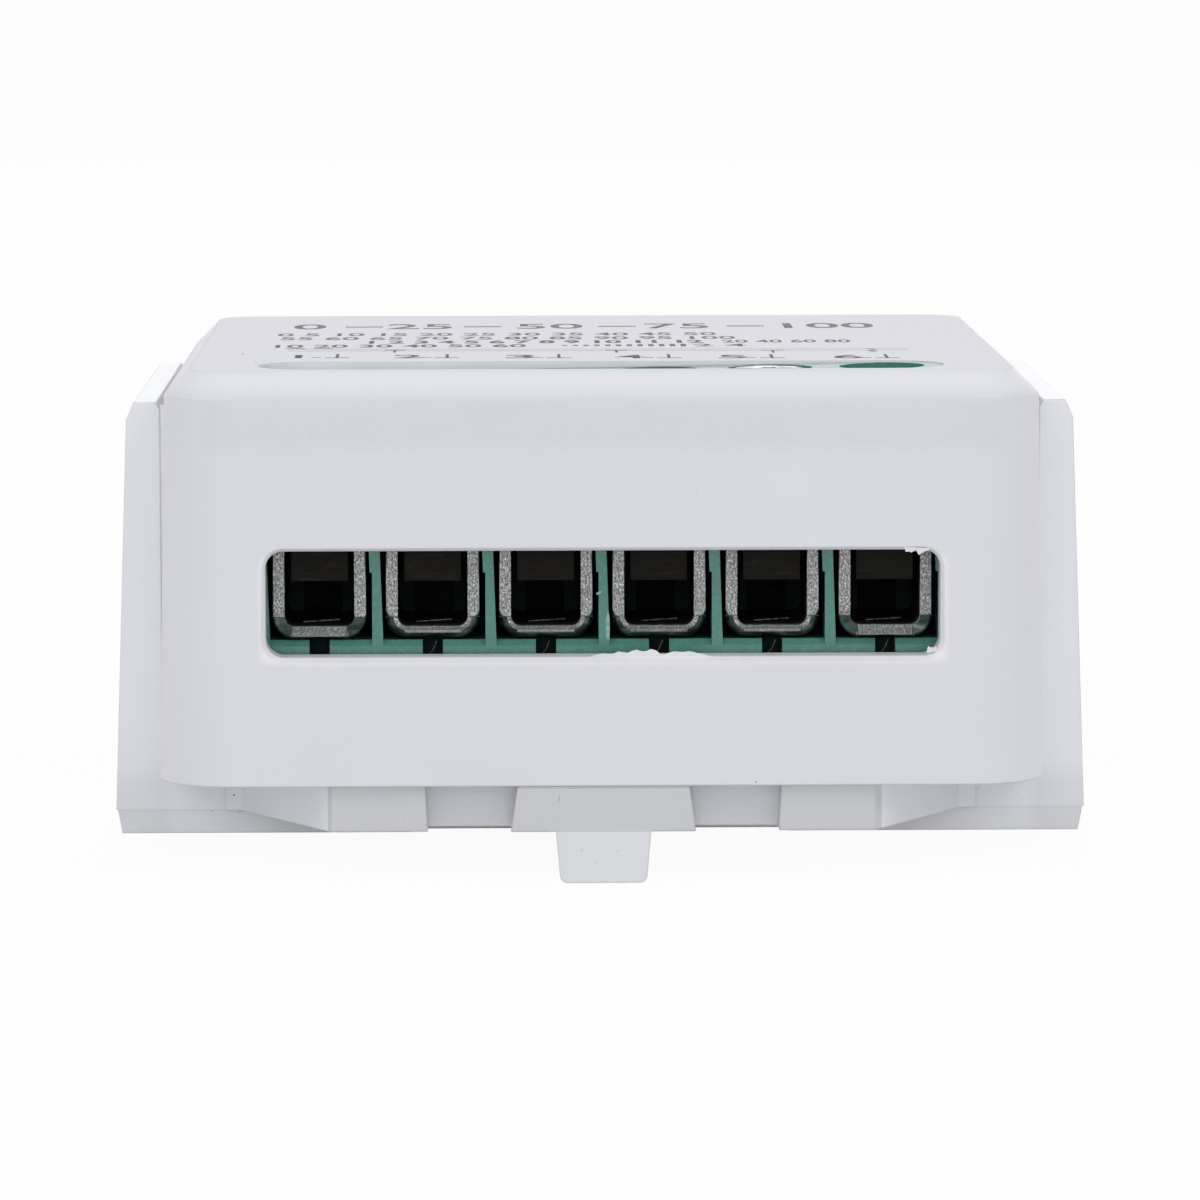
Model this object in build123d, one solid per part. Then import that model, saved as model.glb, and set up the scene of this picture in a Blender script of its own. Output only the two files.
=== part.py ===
from build123d import *
import math
import os

# A one-gang smart dimmer module in a bracket for a 35 mm rail.
# Millimetres. X runs along the terminal row, Y from the wire entries to the
# back, and Z up to the label face. The origin is at the middle of the foot
# plane, which touches the hooks of the bracket.

# Housing
housing_lean = 0.32
housing_corner = 3.4
housing_edge_chamfer = 1.15
label_edge_angle = 45
housing_wall = 1.6
housing_roof = 1.5
housing_rib = 1.4
roof_gap = 0.39
window_cover = 0.41
window_height = 4.7
window_corner = 0.8
window_rim = 0.25
window_lip_show = 0.58
slot_end_room = 0.475

# Bracket
hook_height = 2.25
rail_lip = 1.0
rail_lip_reach = 17.5
rail_clearance = 0.05
plate_thickness = 2.06
slab_drop = 1.08
slab_lean = 0.2
slab_inset = 0.07
wing_depth = 24.1
wing_drop = 1.8
wing_gap = 0.1
wing_foot_thickness = 2.12
wing_top_thickness = 1.52
wing_tip_height = 0.8
wing_tip_width = 0.35
tab_width = 4.15
tab_inset = 0.4
tab_root_inset = 3.3
block_inner_half = 7.85
block_flare = 0.1
channel_half = 8.5
channel_depth = 1.05
post_width = 1.0
post_depth = 0.5
coring_depth = 0.7
coring_rib = 1.2
coring_margin = 1.8
coring_corner = 0.6
detent_drop = 1.79
detent_height = 1.2
detent_length = 6.0
detent_grip = 0.3
detent_clearance = 0.2
hook_side_inset = 0.025
hook_leg = 1.5
hook_catch_reach = 1.2
hook_ramp = 0.5

# Latch
latch_head_top_half = 3.8
latch_head_foot_half = 4.07
latch_head_depth = 1.9
latch_clearance = 0.1
latch_side_clearance = 0.15
latch_thickness = 1.05
latch_body_half = 3.6
latch_ear = 0.6
latch_ear_thickness = 0.8
latch_ear_length = 7.0
latch_length = 18.6
latch_keel = 0.98
latch_tail = 1.0
latch_travel = 2.0
latch_stop_gap = 0.05
nub_top_half = 2.1
nub_foot_half = 1.9
nub_corner = 0.35
nub_leg = 1.6
nub_lip_gap = 0.55
lug_half = 0.9
lug_depth = 1.0
spring_window_half = 1.15
spring_length = 5.1
spring_end_gap = 0.05
spring_radius = 0.75
spring_wire = 0.3
spring_pitch = 0.8

# Base cover
cover_thickness = 1.3
cover_clearance = 0.1
cover_post = 2.6
cover_post_inset = 1.2
snap_length = 4.0
snap_thickness = 0.8
snap_reach = 0.4
snap_rise = 2.55
snap_barb = 0.8
snap_place = 8.0
snap_recess = 0.45
snap_clearance = 0.15

# Main board
board_margin = 2.15
board_thickness = 1.2
board_corner = 1.5
underside_room = 2.8
left_edge_gap = 1.0
lead_radius = 0.3
lead_clearance = 0.06
lead_tail = 0.8

# Terminals
poles = 6
pole_pitch = 5.0
divider = 0.48
divider_lean = 0.07
block_front_gap = 0.35
block_back_wall = 2.9
block_roof_clearance = 0.07
strip_wall = 0.275
strip_clearance = 0.1
strip_drop = 0.51
strip_rise = 0.48
lip_height = 0.96
lip_bevel = 0.26
lip_notch = 0.9
lip_notch_depth = 1.5
cage_side_gap = 0.185
cage_wall = 0.53
cage_top_wall = 1.25
cage_height = 5.55
cage_depth = 6.0
cage_corner = 0.95
cage_lift_gap = 0.08
cage_front_gap = 0.08
cage_top_room = 0.2
cage_groove = 0.08
tongue_side_gap = 0.295
tongue_thickness = 0.8
tongue_lip = 0.6
tongue_lip_height = 1.6
tongue_rise = 1.95
tongue_inset = 0.8
tail_width = 1.6
tail_thickness = 0.8
tail_back_gap = 0.22
contact_clearance = 0.05
screw_radius = 1.5
screw_head_radius = 1.75
screw_head_height = 2.2
screw_head_drop = 0.57
screw_tip_gap = 0.02
screw_tip_chamfer = 0.3
screw_slot = 0.6
screw_slot_depth = 0.9
screw_recess_clearance = 0.15
screw_running_clearance = 0.05
screw_seat_gap = 0.15
screw_pitch = 0.5
screw_turns = 3.0
raised_screw = 5
raised_screw_lift = 0.4

# Film capacitor
film_length = 13.0
film_depth = 5.0
film_height = 11.0
film_block_gap = 0.7
film_can_gap = 2.0
film_lead_pitch = 10.0
case_edge = 0.4

# Electrolytic capacitors
can_radius = 4.0
can_height = 10.8
can_groove_radius = 0.35
can_groove_rise = 1.4
can_edge = 0.5
can_gap = 1.0
can_back_gap = 1.3
can_lead_pitch = 3.5

# Varistor
disc_radius = 3.8
disc_thickness = 3.4
disc_stand = 1.0
disc_edge = 0.8
disc_film_gap = 0.7
disc_block_gap = 1.2
disc_lead_pitch = 5.0

# Power inductor
coil_radius = 3.75
coil_height = 9.0
coil_flange = 1.0
coil_waist = 0.4
coil_disc_gap = 0.95
coil_block_gap = 2.25
coil_radio_gap = 1.38
coil_lead_pitch = 5.0

# Fuse resistor
fuse_radius = 1.4
fuse_length = 7.0
fuse_end_radius = 1.6
fuse_end_length = 1.2
fuse_wire_radius = 0.25
fuse_can_gap = 0.1
fuse_bridge_gap = 1.35
fuse_lead_pitch = 9.0

# Surface parts on the board
bridge_length = 4.7
bridge_depth = 3.9
bridge_height = 2.5
bridge_can_gap = 0.95
bridge_film_gap = 1.55
chip_length = 4.9
chip_depth = 3.9
chip_height = 1.5
chip_coil_gap = 0.8
chip_disc_gap = 2.05
opto_length = 4.6
opto_depth = 6.4
opto_height = 3.5
opto_gap = 1.0
opto_chip_gap = 0.25
opto_fuse_gap = 1.5
pin_width = 0.45
pin_reach = 0.9
pin_thickness = 0.3
pins_per_side = 2
chip_pins_per_side = 4

# Power transistors and heat spreader
transistor_length = 6.6
transistor_depth = 6.1
transistor_height = 2.3
transistor_y = 1.2
transistor_gap = 2.4
spreader_x = -1.2
spreader_length = 20.0
spreader_depth = 9.0
spreader_corner = 1.0

# Radio board
radio_length = 16.0
radio_height = 10.5
radio_thickness = 0.8
radio_wall_gap = 0.6
radio_block_gap = 2.5
radio_chip_size = 5.0
radio_chip_height = 0.9
shield_length = 10.0
shield_height = 7.4
shield_depth = 1.7
shield_wall = 0.25
shield_rise = 1.5

# Pairing button and its switch
button_x = -2.0
button_rise = 3.6
button_radius = 1.95
button_running_clearance = 0.08
button_recess = 0.25
button_flange_radius = 2.6
button_flange = 0.6
button_travel = 0.35
button_inner_gap = 0.15
button_edge = 0.25
switch_width = 6.0
switch_height = 6.0
switch_depth = 3.4
switch_edge = 0.3
plunger_radius = 1.6
plunger_bore_clearance = 0.08
plunger_length = 1.6
plunger_bore = 1.3

# Status light
led_x = 6.0
led_length = 2.4
led_depth = 1.6
led_height = 1.1
pipe_radius = 0.9
pipe_fit = 0.02
pipe_rise = 3.6
pipe_gap = 0.1
pipe_recess = 0.1

# One overrun for every cut that goes right through
overrun = 3.0

# The terminal block, sized by its poles and cages
block_width = poles * pole_pitch + divider
cage_width = pole_pitch - divider - 2 * cage_side_gap
tongue_width = cage_width - 2 * (cage_wall + tongue_side_gap)
chamber_depth = cage_front_gap + cage_depth + tail_back_gap
chamber_height = cage_lift_gap + cage_height + screw_pitch * screw_turns + cage_top_room
block_depth = chamber_depth + block_back_wall
slot_width = 2 * (screw_head_radius + screw_recess_clearance + strip_wall + strip_clearance)
slot_length = (poles - 1) * pole_pitch + slot_width + 2 * slot_end_room
strip_width = slot_width - 2 * strip_clearance
strip_length = slot_length - 2 * strip_clearance
window_width = block_width - 2 * window_cover

# The housing, sized by what it holds
radio_width = shield_depth + radio_thickness + radio_wall_gap + housing_wall + housing_lean
front_row_width = (film_length + disc_film_gap + 2 * disc_radius + coil_disc_gap
                   + 2 * coil_radius + coil_radio_gap)
back_row_width = (2 * can_radius + fuse_can_gap + 2 * lead_radius + fuse_lead_pitch
                  + opto_fuse_gap + 2 * opto_length + 2 * opto_gap)
row_width = (board_margin + left_edge_gap + max(front_row_width, back_row_width)
             + radio_width)
housing_width = max(row_width, block_width + 2 * (housing_wall + block_front_gap))
housing_depth = (housing_wall + block_front_gap + block_depth + film_block_gap + film_depth
                 + film_can_gap + 4 * can_radius + can_gap + can_back_gap + board_margin)
tallest_part = max(film_height, can_height, coil_height, radio_height,
                   disc_stand + 2 * disc_radius)
housing_height = (cover_thickness + underside_room + board_thickness + tallest_part
                  + roof_gap + housing_roof)

# Heights that stack up from the foot plane
seat_z = hook_height
slab_z = seat_z - slab_drop
rim_z = seat_z + plate_thickness
label_z = rim_z + housing_height
roof_z = label_z - housing_roof
cover_z = rim_z + cover_thickness
board_bottom_z = cover_z + underside_room
board_z = board_bottom_z + board_thickness
wing_top_z = label_z - wing_drop
detent_z = wing_top_z - detent_drop
lip_z = board_z + lip_height
window_z = lip_z - window_lip_show + window_height / 2
cage_z = lip_z + cage_lift_gap
tongue_z = cage_z + cage_wall + tongue_rise
tongue_top_z = tongue_z + tongue_lip_height
tongue_under_z = tongue_top_z - tongue_thickness
shoulder_z = roof_z - block_roof_clearance
strip_z = label_z - strip_drop
screw_tip_z = tongue_top_z + screw_tip_gap
screw_head_z = label_z - screw_head_drop - screw_head_height
recess_z = screw_head_z - screw_seat_gap
catch_z = seat_z - rail_lip - rail_clearance


def wall_half(rim_half, z):
    """Half the outer width of the leaning housing at height z."""
    return rim_half - housing_lean * (z - rim_z) / housing_height


# Places that follow from the sizes
rim_half_x = housing_width / 2
rim_half_y = housing_depth / 2
wing_inner = rim_half_x + wing_gap
wing_outer_foot = wing_inner + wing_foot_thickness
wing_outer_top = wing_inner + wing_top_thickness
wing_half_y = wing_depth / 2
slab_half = wing_outer_foot - slab_inset
tab_half = block_inner_half + tab_width
tab_root_half = wing_inner - tab_root_inset
board_half_x = rim_half_x - board_margin
board_half_y = rim_half_y - board_margin
block_front = rim_half_y - housing_wall - block_front_gap
block_back_y = block_depth - block_front
screw_y = cage_front_gap + cage_depth / 2 - block_front
cage_back_y = screw_y + cage_depth / 2
tail_y = cage_back_y + tail_back_gap
pole_places = [(index - (poles - 1) / 2) * pole_pitch for index in range(poles)]
button_z = board_z + button_rise
pipe_z = board_z + pipe_rise

# Places of the pairing button and the status light along Y, at rest
button_wall_y = wall_half(rim_half_y, button_z)
button_tip_y = button_wall_y - button_recess
flange_back_y = button_wall_y - housing_wall - button_inner_gap
flange_front_y = flange_back_y - button_flange
switch_back_y = flange_front_y - plunger_length + plunger_bore - button_travel
led_y = flange_back_y - pipe_radius - pipe_gap

# Heights and places of the latch at rest
keel_z = slab_z + latch_clearance
latch_top_z = keel_z + latch_keel + latch_thickness
ear_z = latch_top_z - latch_ear_thickness
latch_front_y = -(rail_lip_reach + nub_lip_gap + nub_leg)
notch_y = -latch_front_y - latch_head_depth - latch_side_clearance
tab_reach = -latch_front_y - tab_inset
latch_back_y = latch_front_y + latch_length
ear_back_y = latch_back_y - latch_tail
ear_front_y = ear_back_y - latch_ear_length
window_back_y = latch_back_y - 2 * latch_tail
lug_back_y = window_back_y - spring_length - 2 * spring_end_gap
lug_front_y = lug_back_y - lug_depth
window_front_y = lug_front_y - 3 * latch_stop_gap

# Places of the parts on the board, each from its neighbour
film_x = film_length / 2 + left_edge_gap - board_half_x
film_y = block_back_y + film_block_gap + film_depth / 2
can_x = can_radius + left_edge_gap - board_half_x
can_back_y = board_half_y - can_back_gap - can_radius
can_places = (can_back_y - 2 * can_radius - can_gap, can_back_y)
disc_x = film_x + film_length / 2 + disc_film_gap + disc_radius
disc_y = block_back_y + disc_block_gap + disc_thickness / 2
coil_x = disc_x + disc_radius + coil_disc_gap + coil_radius
coil_y = block_back_y + coil_block_gap + coil_radius
bridge_x = can_x + can_radius + bridge_can_gap + bridge_length / 2
bridge_y = film_y + film_depth / 2 + bridge_film_gap + pin_reach + bridge_depth / 2
fuse_x = can_x + can_radius + fuse_can_gap + lead_radius + fuse_lead_pitch / 2
fuse_y = bridge_y + bridge_depth / 2 + pin_reach + fuse_bridge_gap + fuse_end_radius
chip_x = coil_x - coil_radius - chip_coil_gap - chip_length / 2
chip_y = disc_y + disc_thickness / 2 + chip_disc_gap + pin_reach + chip_depth / 2
opto_x = fuse_x + fuse_lead_pitch / 2 + lead_radius + opto_fuse_gap + opto_length / 2
opto_y = chip_y + chip_depth / 2 + 2 * pin_reach + opto_chip_gap + opto_depth / 2
opto_places = (opto_x, opto_x + opto_length + opto_gap)
transistor_step = (transistor_length + transistor_gap) / 2
transistor_places = (spreader_x - transistor_step, spreader_x + transistor_step)
radio_y = block_back_y + radio_block_gap + radio_length / 2


def block(x0, x1, y0, y1, z0, z1):
    """A box between two corners."""
    middle = ((x0 + x1) / 2, (y0 + y1) / 2, (z0 + z1) / 2)
    return Pos(*middle) * Box(x1 - x0, y1 - y0, z1 - z0)


def rod(x, y, z0, z1, radius):
    """An upright cylinder from z0 to z1."""
    return Pos(x, y, (z0 + z1) / 2) * Cylinder(radius, z1 - z0)


def rod_along_y(x, z, y0, y1, radius):
    """A cylinder that lies along Y."""
    return Pos(x, (y0 + y1) / 2, z) * Rot(90, 0, 0) * Cylinder(radius, y1 - y0)


def prism_along_y(points, y0, y1):
    """A solid whose XZ outline runs from y0 to y1."""
    face = make_face(Polyline([(x, y0, z) for x, z in points], close=True))
    return extrude(face, amount=y1 - y0, dir=(0, 1, 0))


def prism_along_x(points, x0, x1):
    """A solid whose YZ outline runs from x0 to x1."""
    face = make_face(Polyline([(x0, y, z) for y, z in points], close=True))
    return extrude(face, amount=x1 - x0, dir=(1, 0, 0))


def rounded_plate(width, depth, corner, z0, z1, x=0, y=0):
    """A flat plate with rounded corners in plan."""
    outline = Pos(x, y, z0) * RectangleRounded(width, depth, corner)
    return extrude(outline, amount=z1 - z0)


def leaning_shell(corner, z0, z1, inset):
    """A rounded block whose sides lean in as the housing does."""
    across = 2 * (wall_half(rim_half_x, z0) - inset)
    along = 2 * (wall_half(rim_half_y, z0) - inset)
    foot = Pos(0, 0, z0) * RectangleRounded(across, along, corner)
    lean = math.degrees(math.atan(housing_lean / housing_height))
    return extrude(foot, amount=z1 - z0, taper=lean)


def label_cap(edge_z):
    """The chamfered top slice of the housing, above edge_z."""
    shrink = rim_half_x - wall_half(rim_half_x, edge_z)
    across = 2 * wall_half(rim_half_x, edge_z)
    along = 2 * wall_half(rim_half_y, edge_z)
    foot = Pos(0, 0, edge_z) * RectangleRounded(across, along, housing_corner - shrink)
    return extrude(foot, amount=housing_edge_chamfer, taper=label_edge_angle)


def edges_at(solid, z):
    """The edges of a solid that lie flat at height z."""
    close = overrun / 1000
    return [e for e in solid.edges()
            if abs(e.bounding_box().min.Z - z) < close
            and abs(e.bounding_box().max.Z - z) < close]


def make_housing():
    edge_z = label_z - housing_edge_chamfer
    shell = leaning_shell(housing_corner, rim_z, edge_z, 0) + label_cap(edge_z)
    inner_corner = housing_corner - housing_wall
    shell -= leaning_shell(inner_corner, rim_z - housing_wall, roof_z, housing_wall)
    shell -= wire_window()
    slot = Pos(0, screw_y, roof_z - overrun) * SlotOverall(slot_length, slot_width)
    shell -= extrude(slot, amount=housing_roof + 2 * overrun)
    for side in (-1, 1):
        shell -= detent_recess(side)
        for place in (-snap_place, snap_place):
            shell -= snap_recess_cut(side, place)
        shell += corner_rib(side)
    shell -= rod_along_y(button_x, button_z, 0, housing_depth,
                         button_radius + button_running_clearance)
    shell -= rod_along_y(led_x, pipe_z, 0, housing_depth, pipe_radius + pipe_fit)
    return shell


def wire_window():
    """The wire entry window, opened out a little at its outer rim."""
    plane = Plane(origin=(0, -rim_half_y - overrun, window_z), x_dir=(1, 0, 0), z_dir=(0, -1, 0))
    hole = plane * RectangleRounded(window_width, window_height, window_corner)
    cut = extrude(hole, amount=-(overrun + housing_wall * 2))
    face_y = -wall_half(rim_half_y, window_z)
    outer = plane.offset(-overrun) * RectangleRounded(
        window_width + 2 * window_rim, window_height + 2 * window_rim,
        window_corner + window_rim)
    inner = plane.offset(face_y + rim_half_y - overrun)
    inner = inner.offset(-2 * (face_y + rim_half_y) - window_rim)
    narrow = inner * RectangleRounded(window_width, window_height, window_corner)
    return cut + loft([outer.face(), narrow.face()], ruled=True)


def detent_recess(side):
    """The pocket outside the housing where a wing's bump clicks in."""
    z0 = detent_z - detent_clearance
    z1 = detent_z + detent_height + detent_clearance
    half = detent_length / 2 + detent_clearance
    depth = wall_half(rim_half_x, z1) - detent_grip - detent_clearance
    return block(min(side * depth, side * (wing_inner + overrun)),
                 max(side * depth, side * (wing_inner + overrun)), -half, half, z0, z1)


def snap_recess_cut(side, place):
    """The pocket inside the housing wall for one barb of the base cover."""
    z1 = cover_z + snap_rise + snap_clearance
    z0 = z1 - snap_barb - 2 * snap_clearance
    half = snap_length / 2 + snap_clearance
    reach = wall_half(rim_half_x, z0) - housing_wall + snap_recess
    return block(min(0, side * reach), max(0, side * reach), place - half, place + half, z0, z1)


def corner_rib(side):
    """A rib on the far wall, beside the corner, that holds the board down."""
    outer = wall_half(rim_half_x, board_z) - housing_corner
    inner = outer - housing_rib
    wall_y = wall_half(rim_half_y, board_z) - housing_wall
    z0 = board_z + block_roof_clearance
    return block(min(side * inner, side * outer), max(side * inner, side * outer),
                 wall_y - housing_rib, wall_y + housing_wall / 2, z0, roof_z + housing_roof / 2)


def make_base_cover():
    inner = 2 * (housing_wall + cover_clearance)
    corner = housing_corner - housing_wall
    lean = 2 * (rim_half_x - wall_half(rim_half_x, cover_z))
    cover = rounded_plate(housing_width - inner - lean, housing_depth - inner - lean,
                          corner, rim_z, cover_z)
    post_x = board_half_x - cover_post_inset - cover_post / 2
    post_y = board_half_y - cover_post_inset - cover_post / 2
    for side in (-1, 1):
        for end in (-1, 1):
            cover += Pos(side * post_x, end * post_y, (cover_z + board_bottom_z) / 2) * Box(
                cover_post, cover_post, board_bottom_z - cover_z)
        for place in (-snap_place, snap_place):
            cover += cover_snap(side, place)
    return cover


def cover_snap(side, place):
    """A springy tongue with a barb that holds the cover in the housing."""
    outer = (housing_width - 2 * (housing_wall + cover_clearance)) / 2
    outer = outer - (rim_half_x - wall_half(rim_half_x, cover_z)) - cover_clearance
    top = cover_z + snap_rise
    points = [(outer - snap_thickness, rim_z + cover_thickness / 2),
              (outer, rim_z + cover_thickness / 2),
              (outer, top - snap_barb),
              (outer + snap_reach, top - snap_barb),
              (outer, top),
              (outer - snap_thickness, top)]
    half = snap_length / 2
    return prism_along_y([(side * x, z) for x, z in points], place - half, place + half)


def plate_outline():
    """The cross shape of the bracket's base, near tab first."""
    quarter = [(tab_half, -tab_reach), (tab_root_half, -wing_half_y), (wing_inner, -wing_half_y)]
    right = quarter + [(x, -y) for x, y in reversed(quarter)]
    left = [(-x, y) for x, y in reversed(right)]
    return [(x, y, seat_z) for x, y in right + left]


def make_rail_bracket():
    face = make_face(Polyline(plate_outline(), close=True))
    bracket = extrude(face, amount=plate_thickness, dir=(0, 0, 1))
    for side in (-1, 1):
        bracket += wing(side)
    slab_foot = slab_half - slab_lean
    slab = [(-slab_half, seat_z), (-slab_foot, slab_z), (slab_foot, slab_z), (slab_half, seat_z)]
    bracket += prism_along_y(slab, -wing_half_y, wing_half_y)
    bracket -= near_notch()
    bracket -= block(-channel_half, channel_half, -wing_half_y - overrun,
                     -wing_half_y + channel_depth, slab_z - overrun, seat_z)
    for side in (-1, 1):
        bracket += corner_post(side)
        for end in (-1, 1):
            bracket -= coring_pocket(side, end)
    bracket -= latch_groove()
    bracket += spring_lug()
    for side in (-1, 1):
        bracket += far_hook(side)
    return bracket


def wing(side):
    """One upright wing with its bump for the housing."""
    points = [(wing_inner, seat_z),
              (wing_outer_foot, seat_z),
              (wing_outer_top, wing_top_z - wing_tip_height),
              (wing_outer_top - wing_tip_width, wing_top_z),
              (wing_inner + wing_tip_width / 2, wing_top_z),
              (wing_inner, wing_top_z - wing_tip_width)]
    upright = prism_along_y([(side * x, z) for x, z in points], -wing_half_y, wing_half_y)
    z1 = detent_z + detent_height
    tip = wall_half(rim_half_x, z1) - detent_grip
    bump = [(wing_inner, detent_z), (tip, detent_z + detent_height / 3),
            (tip, z1 - detent_height / 3), (wing_inner, z1)]
    return upright + prism_along_y([(side * x, z) for x, z in bump],
                                   -detent_length / 2, detent_length / 2)


def near_notch():
    """The recess between the two near blocks, where the latch head sits."""
    top_half = block_inner_half
    foot_half = block_inner_half - block_flare
    points = [(-foot_half, seat_z - overrun), (foot_half, seat_z - overrun),
              (foot_half, seat_z), (top_half, rim_z), (top_half, rim_z + overrun),
              (-top_half, rim_z + overrun), (-top_half, rim_z), (-foot_half, seat_z)]
    return prism_along_y(points, -tab_reach - overrun, -notch_y)


def corner_post(side):
    """The little upright rib where a near diagonal meets its wing."""
    x1 = tab_root_half + post_width / 2
    x0 = x1 - post_width
    return block(min(side * x0, side * x1), max(side * x0, side * x1),
                 -wing_half_y - post_depth, -wing_half_y, seat_z, rim_z)


def coring_pocket(side, end):
    """A shallow moulded pocket under the slab."""
    inner = channel_half
    outer = slab_half - slab_lean - coring_margin
    near = coring_rib / 2
    far = wing_half_y - coring_margin
    return rounded_plate(outer - inner, far - near, coring_corner,
                         slab_z - overrun, slab_z + coring_depth,
                         side * (inner + outer) / 2, end * (near + far) / 2)


def latch_groove():
    """The T-shaped groove in which the latch slides."""
    half = latch_body_half + latch_side_clearance
    cut = block(-half, half, -tab_reach - overrun, latch_back_y + latch_stop_gap,
                slab_z - overrun, latch_top_z + latch_clearance)
    ear_half = half + latch_ear
    return cut + block(-ear_half, ear_half, ear_front_y - latch_travel - latch_stop_gap,
                       ear_back_y + latch_stop_gap, ear_z - latch_clearance,
                       latch_top_z + latch_clearance)


def spring_lug():
    """The lug that the spring leans on, inside the latch's window."""
    return block(-lug_half, lug_half, lug_front_y, lug_back_y, keel_z + latch_clearance, rim_z)


def far_hook(side):
    """A fixed hook that reaches under the rail's far lip."""
    middle = side * (block_inner_half + tab_half) / 2
    half = tab_width / 2 - hook_side_inset
    inner = rail_lip_reach + latch_clearance
    outer = inner + hook_leg
    points = [(inner, seat_z + overrun / 2), (inner, catch_z),
              (inner - hook_catch_reach, catch_z),
              (inner - hook_catch_reach, hook_ramp),
              (inner - hook_catch_reach + hook_ramp, 0),
              (outer - hook_ramp / 2, 0), (outer, hook_ramp / 2),
              (outer, seat_z + overrun / 2)]
    points = [(y, min(z, rim_z)) for y, z in points]
    return prism_along_x(points, middle - half, middle + half)


def make_rail_latch():
    head_top = rim_z - latch_clearance
    foot_z = seat_z + latch_clearance / 3
    head = [(-latch_head_foot_half, foot_z), (latch_head_foot_half, foot_z),
            (latch_head_top_half, head_top), (-latch_head_top_half, head_top)]
    latch = prism_along_y(head, latch_front_y, latch_front_y + latch_head_depth)
    latch += block(-latch_body_half, latch_body_half, latch_front_y + latch_head_depth / 2,
                   latch_back_y, foot_z, latch_top_z)
    keel_front = -wing_half_y + channel_depth + latch_travel
    latch += block(-latch_body_half, latch_body_half, keel_front, latch_back_y,
                   keel_z, latch_top_z)
    ear_half = latch_body_half + latch_ear
    latch += block(-ear_half, ear_half, ear_front_y, ear_back_y, ear_z, latch_top_z)
    latch -= block(-spring_window_half, spring_window_half, window_front_y, window_back_y,
                   keel_z - overrun, latch_top_z + overrun)
    return latch + latch_nub(latch_front_y, foot_z)


def latch_nub(front, foot_z):
    """The hook under the latch head, which grips the rail's near lip."""
    leg_back = front + nub_leg
    catch_back = -rail_lip_reach - latch_clearance + hook_catch_reach
    body = [(-nub_top_half, foot_z), (nub_top_half, foot_z),
            (nub_foot_half, 0), (-nub_foot_half, 0)]
    nub = prism_along_y(body, front, catch_back)
    corners = [e for e in nub.edges().filter_by(Axis.Y) if e.center().Z < foot_z / 2]
    nub = fillet(corners, nub_corner)
    nub -= block(-nub_top_half - overrun, nub_top_half + overrun, leg_back, catch_back + overrun,
                 catch_z, foot_z + overrun)
    ramp = [(catch_back + overrun, -overrun), (catch_back + overrun, hook_ramp + overrun),
            (catch_back - hook_ramp - overrun, -overrun)]
    ramp = prism_along_x(ramp, -nub_top_half - overrun, nub_top_half + overrun)
    return nub - ramp


def make_latch_spring():
    """One unbroken coil between the lug and the latch, along Y."""
    start = lug_back_y + spring_end_gap + spring_wire / 2
    coil = Helix(spring_pitch, spring_length - spring_wire, spring_radius,
                 center=(0, start, (keel_z + latch_top_z) / 2), direction=(0, 1, 0))
    section = Plane(origin=coil @ 0, z_dir=coil % 0) * Circle(spring_wire / 2)
    print("latch spring: least gap between its turns", round(spring_coil_gap(), 3), "mm")
    return sweep(section, path=coil, is_frenet=True)


def spring_coil_gap():
    """The least gap between neighbouring turns, measured on points."""
    steps = 48
    points = []
    count = int(steps * (spring_length - spring_wire) / spring_pitch)
    for index in range(count + 1):
        angle = 2 * math.pi * index / steps
        points.append((spring_radius * math.cos(angle), spring_pitch * index / steps,
                       spring_radius * math.sin(angle)))
    gaps = [math.dist(points[i], points[j]) for i in range(len(points))
            for j in range(i + steps // 2, len(points))]
    return min(gaps) - spring_wire


def lead_pair(x, y, pitch, along_y=False, rise=0):
    """Two wire leads down through the board, as places and a solid."""
    half = pitch / 2
    places = [(x, y - half), (x, y + half)] if along_y else [(x - half, y), (x + half, y)]
    wires = Part() + [rod(px, py, board_bottom_z - lead_tail, board_z + rise, lead_radius)
                      for px, py in places]
    return places, wires


def board_lead_places():
    """Every place where a wire lead goes through the board."""
    places = lead_pair(film_x, film_y, film_lead_pitch)[0]
    places += lead_pair(disc_x, disc_y, disc_lead_pitch)[0]
    places += lead_pair(coil_x, coil_y, coil_lead_pitch)[0]
    places += lead_pair(fuse_x, fuse_y, fuse_lead_pitch)[0]
    for y in can_places:
        places += lead_pair(can_x, y, can_lead_pitch)[0]
    return places


def make_main_board():
    board = rounded_plate(2 * board_half_x, 2 * board_half_y, board_corner,
                          board_bottom_z, board_z)
    for x, y in board_lead_places():
        board -= rod(x, y, board_bottom_z - overrun, board_z + overrun,
                     lead_radius + lead_clearance)
    for x in pole_places:
        board -= tail_box(x, contact_clearance, board_bottom_z - overrun, board_z + overrun)
    return board


def tail_box(x, clearance, z0, z1):
    """The solder tail of one contact, or the hole that it goes through."""
    half = tail_width / 2 + clearance
    return block(x - half, x + half, tail_y - clearance, tail_y + tail_thickness + clearance,
                 z0, z1)


def make_terminal_block():
    half = block_width / 2
    body = block(-half, half, -block_front, block_back_y, board_z, shoulder_z)
    strip = Pos(0, screw_y, shoulder_z - overrun) * SlotOverall(strip_length, strip_width)
    body += extrude(strip, amount=label_z - shoulder_z + overrun)
    body -= above_strip()
    bevel = [(-block_front - overrun, lip_z - lip_bevel - overrun),
             (-block_front - overrun, lip_z + overrun),
             (-block_front + lip_bevel + overrun, lip_z + overrun)]
    for x in pole_places:
        body -= pole_chamber(x)
        lip = (pole_pitch - divider) / 2
        body -= prism_along_x(bevel, x - lip + divider_lean, x + lip + divider_lean)
    return body


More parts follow.
